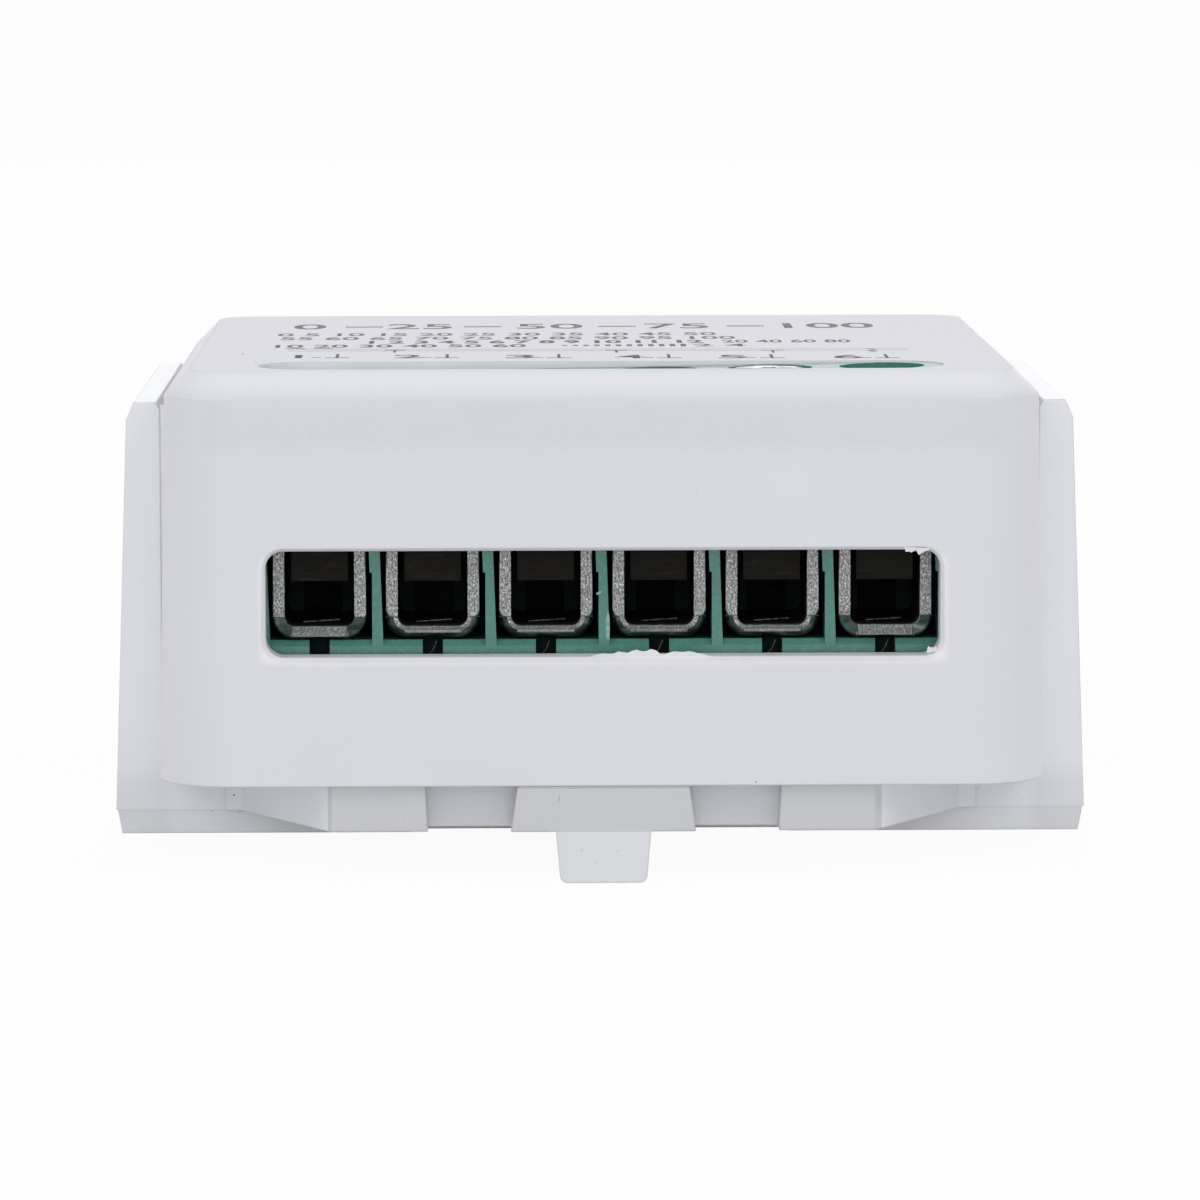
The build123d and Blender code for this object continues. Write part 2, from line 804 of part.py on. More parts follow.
def above_strip():
    """All above the top of the strip, which rises towards its right end."""
    end = strip_length / 2 + overrun
    slope = strip_rise / strip_length
    middle_z = strip_z + strip_rise / 2
    points = [(-end, middle_z - slope * end), (end, middle_z + slope * end),
              (end, label_z + overrun), (-end, label_z + overrun)]
    return prism_along_y(points, -block_front, block_back_y)


def pole_chamber(x):
    """All that is cut from the block for one pole."""
    half = (pole_pitch - divider) / 2
    back = -block_front + chamber_depth
    top = lip_z + chamber_height
    bend_z = window_z + window_height / 2
    low, high = x + divider_lean, x - divider_lean
    leaning = [(low - half, lip_z), (low + half, lip_z), (high + half, bend_z),
               (high + half, top), (high - half, top), (high - half, bend_z)]
    cut = prism_along_y(leaning, -block_front - overrun, back)
    cut += block(x - lip_notch / 2, x + lip_notch / 2, -block_front - overrun,
                 -block_front + lip_notch_depth, board_z - overrun, lip_z + cage_wall)
    cut += rod(x, screw_y, top - cage_wall, strip_z, screw_radius + screw_recess_clearance)
    cut += rod(x, screw_y, recess_z, strip_z + overrun,
               screw_head_radius + screw_recess_clearance)
    cut += tail_box(x, contact_clearance, board_z - overrun, tongue_top_z + contact_clearance)
    half = tongue_width / 2 + contact_clearance
    cut += block(x - half, x + half, back - cage_wall, tail_y + tail_thickness + contact_clearance,
                 tongue_under_z - contact_clearance, tongue_top_z + contact_clearance)
    return cut


def make_terminal_cage(x):
    """One clamp cage: a bent steel loop, open along Y, with a threaded top."""
    outer = Pos(x, screw_y, cage_z + cage_height / 2) * Box(cage_width, cage_depth, cage_height)
    lower = [e for e in outer.edges().filter_by(Axis.Y) if e.center().Z < cage_z + cage_wall]
    outer = fillet(lower, cage_corner)
    inner_z0 = cage_z + cage_wall
    inner_z1 = cage_z + cage_height - cage_top_wall
    hole = Pos(x, screw_y, (inner_z0 + inner_z1) / 2) * Box(
        cage_width - 2 * cage_wall, cage_depth + overrun, inner_z1 - inner_z0)
    corners = [e for e in hole.edges().filter_by(Axis.Y) if e.center().Z < inner_z0 + cage_wall]
    hole = fillet(corners, cage_corner - cage_wall)
    cage = outer - hole
    cage -= rod(x, screw_y, inner_z1 - cage_wall, cage_z + cage_height + overrun,
                screw_radius + screw_running_clearance)
    top_edges = [e for e in cage.edges().filter_by(Axis.Y)
                 if e.center().Z > cage_z + cage_height - cage_groove]
    return chamfer(top_edges, cage_wall / 2)


def make_terminal_screw(x, lift):
    """A cheese-head clamp screw; its thread is a plain running cylinder."""
    shank = rod(x, screw_y, screw_tip_z, screw_head_z + screw_slot, screw_radius)
    shank = chamfer(edges_at(shank, screw_tip_z), screw_tip_chamfer)
    head = rod(x, screw_y, screw_head_z, screw_head_z + screw_head_height, screw_head_radius)
    head = chamfer(edges_at(head, screw_head_z + screw_head_height), screw_slot / 3)
    floor_z = screw_head_z + screw_head_height - screw_slot_depth
    top_z = screw_head_z + screw_head_height + overrun
    screw = shank + head
    screw -= Pos(x, screw_y, (floor_z + top_z) / 2) * Box(
        2 * screw_head_radius + overrun, screw_slot, top_z - floor_z)
    screw -= Pos(x, screw_y, (floor_z + top_z) / 2) * Box(
        screw_slot, screw_head_radius, top_z - floor_z)
    return Pos(0, 0, lift) * screw


def make_terminal_contacts():
    """The six tongues that the cages press the wires against."""
    front = -block_front + tongue_inset
    tongues = []
    for x in pole_places:
        half = tongue_width / 2
        bar = block(x - half, x + half, front, tail_y + tail_thickness,
                    tongue_under_z, tongue_top_z)
        bar += block(x - half, x + half, front, front + tongue_lip, tongue_z, tongue_top_z)
        bar += tail_box(x, 0, board_bottom_z - lead_tail, tongue_top_z)
        tongues.append(bar)
    return tongues


def make_film_capacitor():
    leads = lead_pair(film_x, film_y, film_lead_pitch, rise=case_edge)[1]
    case = Pos(film_x, film_y, board_z + film_height / 2) * Box(
        film_length, film_depth, film_height)
    return fillet(case.edges().filter_by(Axis.Z) + case.edges().group_by(Axis.Z)[-1],
                  case_edge) + leads


def make_electrolytic_capacitors():
    return [electrolytic(can_x, y) for y in can_places]


def electrolytic(x, y):
    """A can with a crimped groove above its foot."""
    can = rod(x, y, board_z, board_z + can_height, can_radius)
    can = fillet(edges_at(can, board_z + can_height), can_edge)
    ring = Pos(x, y, board_z + can_groove_rise) * Torus(
        can_radius + can_groove_radius / 2, can_groove_radius)
    return can - ring + lead_pair(x, y, can_lead_pitch, rise=can_edge)[1]


def make_varistor():
    middle = board_z + disc_stand + disc_radius
    disc = rod_along_y(disc_x, middle, disc_y - disc_thickness / 2,
                       disc_y + disc_thickness / 2, disc_radius)
    disc = fillet(disc.edges().filter_by(GeomType.CIRCLE), disc_edge)
    return disc + lead_pair(disc_x, disc_y, disc_lead_pitch, rise=disc_stand + disc_radius)[1]


def make_power_inductor():
    """A wound drum: two ferrite flanges with the winding between them."""
    drum = rod(coil_x, coil_y, board_z, board_z + coil_height, coil_radius)
    waist = rod(coil_x, coil_y, board_z + coil_flange,
                board_z + coil_height - coil_flange, coil_radius + overrun)
    core = rod(coil_x, coil_y, board_z, board_z + coil_height, coil_radius - coil_waist)
    return drum - (waist - core) + lead_pair(coil_x, coil_y, coil_lead_pitch,
                                             rise=coil_flange / 2)[1]


def make_fuse_resistor():
    """An axial body that lies on the board with its leads bent down."""
    middle = board_z + fuse_end_radius
    half = fuse_length / 2
    body = Pos(fuse_x, fuse_y, middle) * Rot(0, 90, 0) * Cylinder(fuse_radius, fuse_length)
    for end in (-1, 1):
        body += Pos(fuse_x + end * (half - fuse_end_length / 2), fuse_y, middle) * Rot(
            0, 90, 0) * Cylinder(fuse_end_radius, fuse_end_length)
    wire = Pos(fuse_x, fuse_y, middle) * Rot(0, 90, 0) * Cylinder(
        fuse_wire_radius, fuse_lead_pitch)
    leads = lead_pair(fuse_x, fuse_y, fuse_lead_pitch, rise=fuse_end_radius + lead_radius)[1]
    return body + wire + leads


def flat_chip(x, y, length, depth, height, pins):
    """A moulded chip with a row of flat legs along each long side."""
    body = block(x - length / 2, x + length / 2, y - depth / 2, y + depth / 2,
                 board_z, board_z + height)
    body = chamfer(body.edges().group_by(Axis.Z)[-1], pin_thickness)
    pitch = length / pins
    for index in range(pins):
        px = x + (index - (pins - 1) / 2) * pitch
        body += block(px - pin_width / 2, px + pin_width / 2, y - depth / 2 - pin_reach,
                      y + depth / 2 + pin_reach, board_z, board_z + pin_thickness)
    return body


def make_bridge_rectifier():
    return flat_chip(bridge_x, bridge_y, bridge_length, bridge_depth, bridge_height,
                     pins_per_side)


def make_supply_chip():
    return flat_chip(chip_x, chip_y, chip_length, chip_depth, chip_height, chip_pins_per_side)


def make_optocouplers():
    return [flat_chip(x, opto_y, opto_length, opto_depth, opto_height, pins_per_side)
            for x in opto_places]


def make_power_transistors():
    """Two transistors under the board, tabs down on the heat spreader."""
    chips = []
    for x in transistor_places:
        body = block(x - transistor_length / 2, x + transistor_length / 2,
                     transistor_y - transistor_depth / 2, transistor_y + transistor_depth / 2,
                     board_bottom_z - transistor_height, board_bottom_z)
        chips.append(chamfer(body.edges().filter_by(Axis.Z), pin_thickness))
    return chips


def make_heat_spreader():
    return rounded_plate(spreader_length, spreader_depth, spreader_corner, cover_z,
                         board_bottom_z - transistor_height, spreader_x, transistor_y)


def radio_face_x():
    """The inner face of the radio board, which stands by the right wall."""
    wall = wall_half(rim_half_x, label_z) - housing_wall
    return wall - radio_wall_gap - radio_thickness


def make_wifi_board():
    x = radio_face_x()
    board = block(x, x + radio_thickness, radio_y - radio_length / 2, radio_y + radio_length / 2,
                  board_z, board_z + radio_height)
    top = board.edges().filter_by(Axis.X).group_by(Axis.Z)[-1]
    return chamfer(top, radio_thickness)


def make_wifi_chip():
    x = radio_face_x()
    half = radio_chip_size / 2
    z = board_z + shield_rise + shield_height / 2
    return block(x - radio_chip_height, x, radio_y - half, radio_y + half, z - half, z + half)


def make_wifi_shield():
    """A pressed can over the radio chip, open towards its board."""
    x = radio_face_x()
    y0 = radio_y - shield_length / 2
    z0 = board_z + shield_rise
    can = block(x - shield_depth, x, y0, y0 + shield_length, z0, z0 + shield_height)
    can -= block(x - shield_depth + shield_wall, x + overrun, y0 + shield_wall,
                 y0 + shield_length - shield_wall, z0 + shield_wall,
                 z0 + shield_height - shield_wall)
    return can


def make_button_switch():
    body = block(button_x - switch_width / 2, button_x + switch_width / 2,
                 switch_back_y - switch_depth, switch_back_y, board_z, board_z + switch_height)
    body = chamfer(body.edges().filter_by(Axis.Y), switch_edge)
    return body - rod_along_y(button_x, button_z, switch_back_y - plunger_bore,
                              switch_back_y + overrun, plunger_radius + plunger_bore_clearance)


def make_switch_plunger():
    return rod_along_y(button_x, button_z, flange_front_y - plunger_length, flange_front_y,
                       plunger_radius)


def make_pairing_button():
    cap = rod_along_y(button_x, button_z, flange_front_y, flange_back_y, button_flange_radius)
    stem = rod_along_y(button_x, button_z, flange_front_y, button_tip_y, button_radius)
    rim = stem.edges().filter_by(GeomType.CIRCLE).group_by(Axis.Y)[-1]
    return cap + fillet(rim, button_edge)


def make_status_led():
    return block(led_x - led_length / 2, led_x + led_length / 2, led_y - led_depth / 2,
                 led_y + led_depth / 2, board_z, board_z + led_height)


def make_light_pipe():
    """A clear rod, bent by a mirror cut, from above the light to the far wall."""
    upright = rod(led_x, led_y, board_z + led_height + pipe_gap, pipe_z + pipe_radius,
                  pipe_radius)
    level = rod_along_y(led_x, pipe_z, led_y - pipe_radius,
                        wall_half(rim_half_y, pipe_z) - pipe_recess, pipe_radius)
    reach = pipe_radius + overrun
    beyond_bend = [(led_y - reach, pipe_z - reach), (led_y - reach, pipe_z + reach),
                   (led_y + reach, pipe_z + reach)]
    return upright + level - prism_along_x(beyond_bend, led_x - reach, led_x + reach)


def save(name, shape):
    """Write one sub-part, one or more solids, to its own file."""
    if isinstance(shape, list):
        shape = Compound(children=[solid for item in shape for solid in item.solids()])
    export_step(shape, os.path.join("parts", name + ".step"))


def main():
    os.makedirs("parts", exist_ok=True)
    save("housing", make_housing())
    save("base_cover", make_base_cover())
    save("rail_bracket", make_rail_bracket())
    save("rail_latch", make_rail_latch())
    save("latch_spring", make_latch_spring())
    save("terminal_block", make_terminal_block())
    for index, x in enumerate(pole_places, start=1):
        save(f"terminal_cage_{index}", make_terminal_cage(x))
        lift = raised_screw_lift if index == raised_screw else 0
        save(f"terminal_screw_{index}", make_terminal_screw(x, lift))
    save("terminal_contacts", make_terminal_contacts())
    save("main_board", make_main_board())
    save("film_capacitor", make_film_capacitor())
    save("electrolytic_capacitors", make_electrolytic_capacitors())
    save("varistor", make_varistor())
    save("power_inductor", make_power_inductor())
    save("fuse_resistor", make_fuse_resistor())
    save("bridge_rectifier", make_bridge_rectifier())
    save("supply_chip", make_supply_chip())
    save("optocouplers", make_optocouplers())
    save("power_transistors", make_power_transistors())
    save("heat_spreader", make_heat_spreader())
    save("wifi_board", make_wifi_board())
    save("wifi_chip", make_wifi_chip())
    save("wifi_shield", make_wifi_shield())
    save("button_switch", make_button_switch())
    save("switch_plunger", make_switch_plunger())
    save("pairing_button", make_pairing_button())
    save("status_led", make_status_led())
    save("light_pipe", make_light_pipe())


main()
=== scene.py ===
# %% [markdown]
# # A smart dimmer module in its rail bracket
# This file dresses a finished CAD model for a photograph. The module is a white
# moulded box, 39 mm wide, with a row of six steel clamps behind a window. A white
# bracket holds it from below and clips on a 35 mm rail. The CAD model is loaded
# first and stays as it is, so every new piece is placed by its sizes, in metres.

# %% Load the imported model
import math

import bmesh
import bpy
from mathutils import Matrix, Vector, noise
from mathutils.bvhtree import BVHTree


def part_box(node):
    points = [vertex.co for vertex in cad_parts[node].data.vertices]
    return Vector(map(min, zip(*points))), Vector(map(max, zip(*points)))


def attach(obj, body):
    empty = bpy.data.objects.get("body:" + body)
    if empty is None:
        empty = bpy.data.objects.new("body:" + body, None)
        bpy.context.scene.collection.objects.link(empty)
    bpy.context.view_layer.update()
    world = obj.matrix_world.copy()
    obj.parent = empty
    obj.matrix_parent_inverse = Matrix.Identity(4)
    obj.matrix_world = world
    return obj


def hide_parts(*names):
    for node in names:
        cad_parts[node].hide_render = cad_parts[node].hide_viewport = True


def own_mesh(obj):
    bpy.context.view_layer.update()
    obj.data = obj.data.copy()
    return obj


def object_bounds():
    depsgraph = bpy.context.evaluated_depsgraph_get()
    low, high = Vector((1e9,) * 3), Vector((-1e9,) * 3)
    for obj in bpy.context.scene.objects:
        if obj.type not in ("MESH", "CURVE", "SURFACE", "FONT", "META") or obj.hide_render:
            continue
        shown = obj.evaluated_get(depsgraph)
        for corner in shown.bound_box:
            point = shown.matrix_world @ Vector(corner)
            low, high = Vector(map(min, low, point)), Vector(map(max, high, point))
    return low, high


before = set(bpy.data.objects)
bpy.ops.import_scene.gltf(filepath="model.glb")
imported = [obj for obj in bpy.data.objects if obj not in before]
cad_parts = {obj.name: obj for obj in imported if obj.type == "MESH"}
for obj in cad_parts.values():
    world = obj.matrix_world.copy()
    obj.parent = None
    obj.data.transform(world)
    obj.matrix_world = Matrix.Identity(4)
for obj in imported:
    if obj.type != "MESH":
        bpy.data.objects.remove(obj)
cad_low, cad_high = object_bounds()
MM = 0.001

# %% [markdown]
# ## The camera
# The picture was taken with a long lens from about 300 mm in front of the clamps
# and a little above the label, so upright edges stay nearly parallel. The place,
# the tilt and the lens were fitted to edges of known size. A camera looks along
# its own -Z, so its turn is built from three directions: right, up and back.

# %% Set the camera at the picture's angle
EYE = Vector((-4.80, -297.53, 43.67)) * MM


def add_object(name, data):
    """A new object in the scene."""
    thing = bpy.data.objects.new(name, data)
    bpy.context.scene.collection.objects.link(thing)
    return thing


camera_data = bpy.data.cameras.new("picture_camera")
camera_data.sensor_width = 36.0
camera_data.lens = 191.33
camera = add_object("picture_camera", camera_data)
pitch, yaw, roll = (math.radians(a) for a in (6.390, 0.960, -0.103))
ahead = Vector((math.sin(yaw) * math.cos(pitch), math.cos(yaw) * math.cos(pitch),
                -math.sin(pitch)))
level = Vector((math.cos(yaw), -math.sin(yaw), 0))
upright = level.cross(ahead)
right = math.cos(roll) * level + math.sin(roll) * upright
up = math.cos(roll) * upright - math.sin(roll) * level
place = Matrix((right, up, -ahead)).transposed().to_4x4()
place.translation = EYE
camera.matrix_world = place
bpy.context.scene.camera = camera
print("camera looks along", [round(v, 3) for v in ahead])

# %% [markdown]
# ## The light and the floor
# The object was lit evenly, by soft light from both sides and above, and stands
# before plain white. A pale world gives the even part. Two wide lamps high at the
# sides give the undercuts their soft shade, a low one behind the camera opens the
# deep places, and one behind the object lights its far side. The white that the
# camera sees comes from the world by Light Path, not from more light.

# %% Make the world and the lamps
LAMP_TARGET = Vector((0, 0, 0.01))
LAMPS = (
    ("lamp_left", (-0.52, -0.34, 0.50), 0.45, 1.3),
    ("lamp_right", (0.52, -0.34, 0.50), 0.45, 1.3),
    ("lamp_front", (0.0, -0.85, 0.11), 0.5, 1.25),
    ("lamp_back", (0.10, 0.60, 0.35), 0.45, 0.6))


def add_node(tree, kind, inputs=(), **settings):
    """A node with its settings and its inputs, each a plain value or a link."""
    node = tree.nodes.new("ShaderNode" + kind)
    for name, value in settings.items():
        setattr(node, name, value)
    for socket, value in dict(inputs).items():
        if isinstance(value, bpy.types.NodeSocket):
            tree.links.new(value, node.inputs[socket])
        else:
            node.inputs[socket].default_value = value
    return node


def seen_directly(tree):
    """Values that are 1 for any direct look, also by mirrors, and for the camera alone."""
    path = add_node(tree, "LightPath").outputs
    total = path["Is Camera Ray"]
    for name in ("Is Glossy Ray", "Is Transmission Ray"):
        total = add_node(tree, "Math", {0: total, 1: path[name]}, operation="ADD",
                         use_clamp=True).outputs[0]
    return total, path["Is Camera Ray"]


world = bpy.data.worlds.new("white_room")
bpy.context.scene.world = world
world.use_nodes = True
room = world.node_tree
soft = add_node(room, "Background", {"Color": (0.98, 0.985, 1.0, 1), "Strength": 0.46})
plain = add_node(room, "Background", {"Color": (1, 1, 1, 1), "Strength": 1.0})
choice = add_node(room, "MixShader", {0: seen_directly(room)[0], 1: soft.outputs[0],
                                      2: plain.outputs[0]})
room.links.new(choice.outputs[0], room.nodes["World Output"].inputs["Surface"])
for name, spot, size, power in LAMPS:
    data = bpy.data.lights.new(name, "AREA")
    data.size = size
    data.energy = power
    aim = (LAMP_TARGET - Vector(spot)).to_track_quat("-Z", "Y")
    add_object(name, data).matrix_world = (Matrix.Translation(spot)
                                           @ aim.to_matrix().to_4x4())

# %% [markdown]
# The floor is a large square a hair below the object, so that the two never
# share a plane. To the camera and in mirrors it glows almost white, and to other
# rays it is a matt pale grey. From below it is clear, so that the underside shows.

# %% Make the floor
FLOOR_HALF = 3.0
FLOOR_DROP = 0.00002
FLOOR_GLOW = 0.95
floor_mesh = bpy.data.meshes.new("floor")
build = bmesh.new()
bmesh.ops.create_grid(build, x_segments=1, y_segments=1, size=FLOOR_HALF)
bmesh.ops.translate(build, vec=(0, 0, -FLOOR_DROP), verts=build.verts)
build.to_mesh(floor_mesh)
build.free()
floor = add_object("floor", floor_mesh)
floor_paint = bpy.data.materials.new("floor_paint")
floor_paint.use_nodes = True
paint = floor_paint.node_tree
paint.nodes.remove(paint.nodes["Principled BSDF"])
any_view, camera_view = seen_directly(paint)
shade = add_node(paint, "Mix", {0: camera_view, 6: (0.84, 0.84, 0.85, 1),
                                7: (0.99, 0.99, 0.99, 1)}, data_type="RGBA")
matt = add_node(paint, "BsdfDiffuse", {"Color": shade.outputs[2]})
glow = add_node(paint, "Emission", {"Strength": 1.0})
share_lit = add_node(paint, "Math", {0: any_view, 1: FLOOR_GLOW}, operation="MULTIPLY")
bounce = add_node(paint, "MixShader", {0: share_lit.outputs[0], 1: matt.outputs[0],
                                       2: glow.outputs[0]})
from_below = add_node(paint, "NewGeometry").outputs["Backfacing"]
clear = add_node(paint, "BsdfTransparent")
side = add_node(paint, "MixShader", {0: from_below, 1: bounce.outputs[0],
                                     2: clear.outputs[0]})
paint.links.new(side.outputs[0], paint.nodes["Material Output"].inputs["Surface"])
floor.data.materials.append(floor_paint)
bpy.context.scene.view_settings.view_transform = "Standard"
print("floor:", 2 * FLOOR_HALF, "m wide")

# %% [markdown]
# ## Helpers for finishes
# Each finish is a Principled shader whose colour, roughness and bump come from a
# few textures on Object coordinates, so that they stay on the piece when it
# moves. Numbers that are the same all over go on the shader itself.

# %% Define the textures


def start_finish(name, colour, roughness, **plain_values):
    """A new material and its tree and shader, with plain values on the shader."""
    finish = bpy.data.materials.new(name)
    finish.use_nodes = True
    shader = finish.node_tree.nodes["Principled BSDF"]
    shader.inputs["Base Color"].default_value = (*colour, 1)
    shader.inputs["Roughness"].default_value = roughness
    for socket, value in plain_values.items():
        shader.inputs[socket.replace("_", " ")].default_value = value
    return finish, finish.node_tree, shader


def place_on_piece(tree, move=(0, 0, 0), stretch=(1, 1, 1), turn=(0, 0, 0)):
    """Object coordinates, moved, stretched and turned."""
    spot = add_node(tree, "TexCoord").outputs["Object"]
    return add_node(tree, "Mapping", {"Vector": spot, "Location": move, "Rotation": turn,
                                      "Scale": stretch}).outputs["Vector"]


def cloud(tree, grains_per_mm, detail=2.0, rough=0.5, stretch=(1, 1, 1)):
    """A noise whose grains are counted per millimetre."""
    return add_node(tree, "TexNoise", {
        "Vector": place_on_piece(tree, stretch=stretch), "Scale": grains_per_mm / MM,
        "Detail": detail, "Roughness": rough}).outputs["Fac"]


def bands(tree, kind, axis, scale, distortion=0.0, move=(0, 0, 0)):
    """Straight or round bands across or about an axis."""
    return add_node(tree, "TexWave", {
        "Vector": place_on_piece(tree, move=move), "Scale": scale,
        "Distortion": distortion}, wave_type=kind,
        **{kind.lower() + "_direction": axis}).outputs["Fac"]


print("textures ready")

# %% [markdown]
# The values of the textures are turned into colours and plain numbers, limited to
# zones of the piece, mixed, and fed to the shader. A bump may lie over another.

# %% Define the shades, the masks and the mixes


def shades(value, stops):
    """Turns a value into colours between stops, each a place and a colour."""
    ramp = add_node(value.id_data, "ValToRGB", {"Fac": value})
    elements = ramp.color_ramp.elements
    while len(elements) < len(stops):
        elements.new(0.5)
    for element, (spot, colour) in zip(elements, stops):
        element.position = spot
        element.color = (*colour, 1)
    return ramp.outputs["Color"]


def in_range(value, low, high, from_low=0.3, from_high=0.7):
    """Turns the middle of a noise into a range of plain numbers."""
    return add_node(value.id_data, "MapRange", {
        "Value": value, "From Min": from_low, "From Max": from_high, "To Min": low,
        "To Max": high}).outputs["Result"]


def along(tree, axis, low_mm, high_mm):
    """A value that goes from 0 to 1 between two places along an axis of the piece."""
    spot = add_node(tree, "TexCoord").outputs["Object"]
    split = add_node(tree, "SeparateXYZ", {0: spot})
    return in_range(split.outputs[axis], 0, 1, low_mm * MM, high_mm * MM)


def combined(how, *values):
    """Values put together one by one by a sum of the given kind."""
    tree = next(v.id_data for v in values if isinstance(v, bpy.types.NodeSocket))
    result, *others = values
    for value in others:
        result = add_node(tree, "Math", {0: result, 1: value}, operation=how).outputs[0]
    return result


def product(*values):
    """All the values multiplied."""
    return combined("MULTIPLY", *values)


def between(tree, axis, low_mm, high_mm, soft_mm=0.02):
    """1 between two places along an axis and 0 outside."""
    return product(along(tree, axis, low_mm - soft_mm, low_mm + soft_mm),
                   along(tree, axis, high_mm + soft_mm, high_mm - soft_mm))


def mixed(share, first, second):
    """A mix of two colours by a share."""
    first, second = ((*c, 1) if isinstance(c, tuple) else c for c in (first, second))
    return add_node(share.id_data, "Mix", {0: share, 6: first, 7: second},
                    data_type="RGBA").outputs[2]


def feed(shader, **values):
    """Links values to sockets of a shader."""
    for socket, value in values.items():
        shader.id_data.links.new(value, shader.inputs[socket.replace("_", " ")])


def raise_surface(shader, height, depth_mm, after=None):
    """A bump of a given depth, laid over one made before."""
    inputs = {"Strength": 1.0, "Distance": depth_mm * MM, "Height": height}
    if after is not None:
        inputs["Normal"] = after
    normal = add_node(shader.id_data, "Bump", inputs).outputs["Normal"]
    feed(shader, Normal=normal)
    return normal


def one_noise(name, colour, roughness, stops, grain, detail=2.0, stretch=(1, 1, 1),
              rough=None, depth_mm=None, **plain_values):
    """A finish whose colour, and maybe roughness and bump, follow a single noise."""
    finish, tree, shader = start_finish(name, colour, roughness, **plain_values)
    texture = cloud(tree, grain, detail, stretch=stretch)
    feed(shader, Base_Color=shades(texture, stops))
    if rough:
        feed(shader, Roughness=in_range(texture, *rough))
    if depth_mm:
        raise_surface(shader, texture, depth_mm)
    return finish


def scaled(colour, factor):
    """A colour made darker or lighter."""
    return tuple(min(1.0, c * factor) for c in colour)


def wear(node, finish):
    """Gives a CAD node one finish."""
    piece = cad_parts[node]
    piece.data.materials.clear()
    piece.data.materials.append(finish)


def box_mm(node):
    """The two corners of a CAD node's box, in mm."""
    return tuple(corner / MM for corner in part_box(node))


def middle_mm(node):
    """The middle of a CAD node's box, in mm."""
    low, high = box_mm(node)
    return (low + high) / 2


print("helpers ready")

# %% [markdown]
# ## White moulded plastic
# The housing has a fine spark-eroded satin, and the bracket is a touch smoother.
# Both are a cool white. A fine noise gives the grain, a slower one the faint
# waves of a moulding, and a third shifts the colour a little. The label is a matt
# film of the same white. Painted light lies on both. On the housing the label and
# the chamfer are painted lighter, as by light from above, the top of the near face
# is painted a little darker, and the window's rim and the far wall of the slot
# carry a painted highlight. At both ends of its foot the bracket has a frosted
# patch, where the mould was scraped. Painted shade darkens the front faces of its
# blocks, the feet of its wings and a line at the seat, and the tops of its wings
# are painted lighter. A Bevel node rounds the way that light falls on every edge,
# as a moulding has no sharp ones, and the shape stays as the CAD has it.

# %% Make the white plastics
SEAT = 2.25
EDGE_ROUND = 0.14
WINDOW_X, WINDOW_Z = (-15.0, 15.05), (9.8, 14.4)
SLOT_X, SLOT_Y = (-15.5, 15.6), (-13.2, -12.1)
BLOCKS_X = (-12.15, 12.3)
WING_TOP = 20.6


def housing_tones(tree, tint, sheen, colour, top):
    """Painted shade on the top of the near face, and painted highlights on the chamfer, the
    label film, the window's rim and the slot's far wall.
    """
    film = along(tree, "Z", top - 0.12, top - 0.04)
    rim = product(between(tree, "X", *WINDOW_X, 0.22),
                  between(tree, "Z", *WINDOW_Z, 0.22), along(tree, "Y", -18.8, -19.0))
    slot_wall_light = product(between(tree, "Y", *SLOT_Y, 0.05),
                        between(tree, "Z", top - 0.8, top - 0.06),
                        between(tree, "X", *SLOT_X))
    face = product(along(tree, "Y", -18.9, -19.3),
                   between(tree, "Z", top - 3.4, top - 1.3, 0.4))
    chamfer = along(tree, "Z", top - 1.15, top - 0.6)
    # Painted light and shade: the top of the near face is painted a little darker, the chamfer
    # and the label film lighter, as by light from above, and the window's rim and the slot's
    # far wall lighter still, as painted highlights.
    for share, factor in ((face, 0.95), (chamfer, 1.09), (film, 1.08)):
        tint = mixed(share, tint, scaled(colour, factor))
    tint = mixed(combined("MAXIMUM", rim, slot_wall_light), tint, (0.95, 0.95, 0.97))
    return tint, combined("MAXIMUM", sheen, product(film, 0.75))


def bracket_tones(tree, tint, colour):
    """Painted shade on the feet of the wings, at the seat and on the front faces of the blocks
    and the nub, and a painted highlight on the wing tops.
    """
    # Painted shade and light: the front faces of the wing feet, a thin band at the seat and the
    # front faces of the blocks under the housing's rim are painted darker, and the tops of the
    # wings lighter.
    wing_front = between(tree, "Y", -12.3, -11.9, 0.05)
    outer = combined("ADD", along(tree, "X", -19.2, -19.8), along(tree, "X", 19.2, 19.8))
    foot_shade = product(outer, along(tree, "Z", 4.3, 3.3))
    seat_shade = along(tree, "Z", SEAT + 0.01, SEAT - 0.03)
    line = between(tree, "Z", SEAT - 0.09, SEAT, 0.02)
    share = combined("ADD", product(foot_shade, 0.35), product(seat_shade, 0.3), product(line, 0.3))
    shaded_block_fronts = product(along(tree, "Y", -17.4, -17.9), between(tree, "X", *BLOCKS_X))
    for share, factor in (
            (product(wing_front, share), 0.8),
            (along(tree, "Z", WING_TOP, WING_TOP + 0.08), 1.08),
            (product(shaded_block_fronts, along(tree, "Z", SEAT - 0.01, SEAT + 0.03)), 0.73),
            (product(shaded_block_fronts, along(tree, "Z", SEAT + 0.01, SEAT - 0.03)), 0.90)):
        tint = mixed(share, tint, scaled(colour, factor))
    return tint


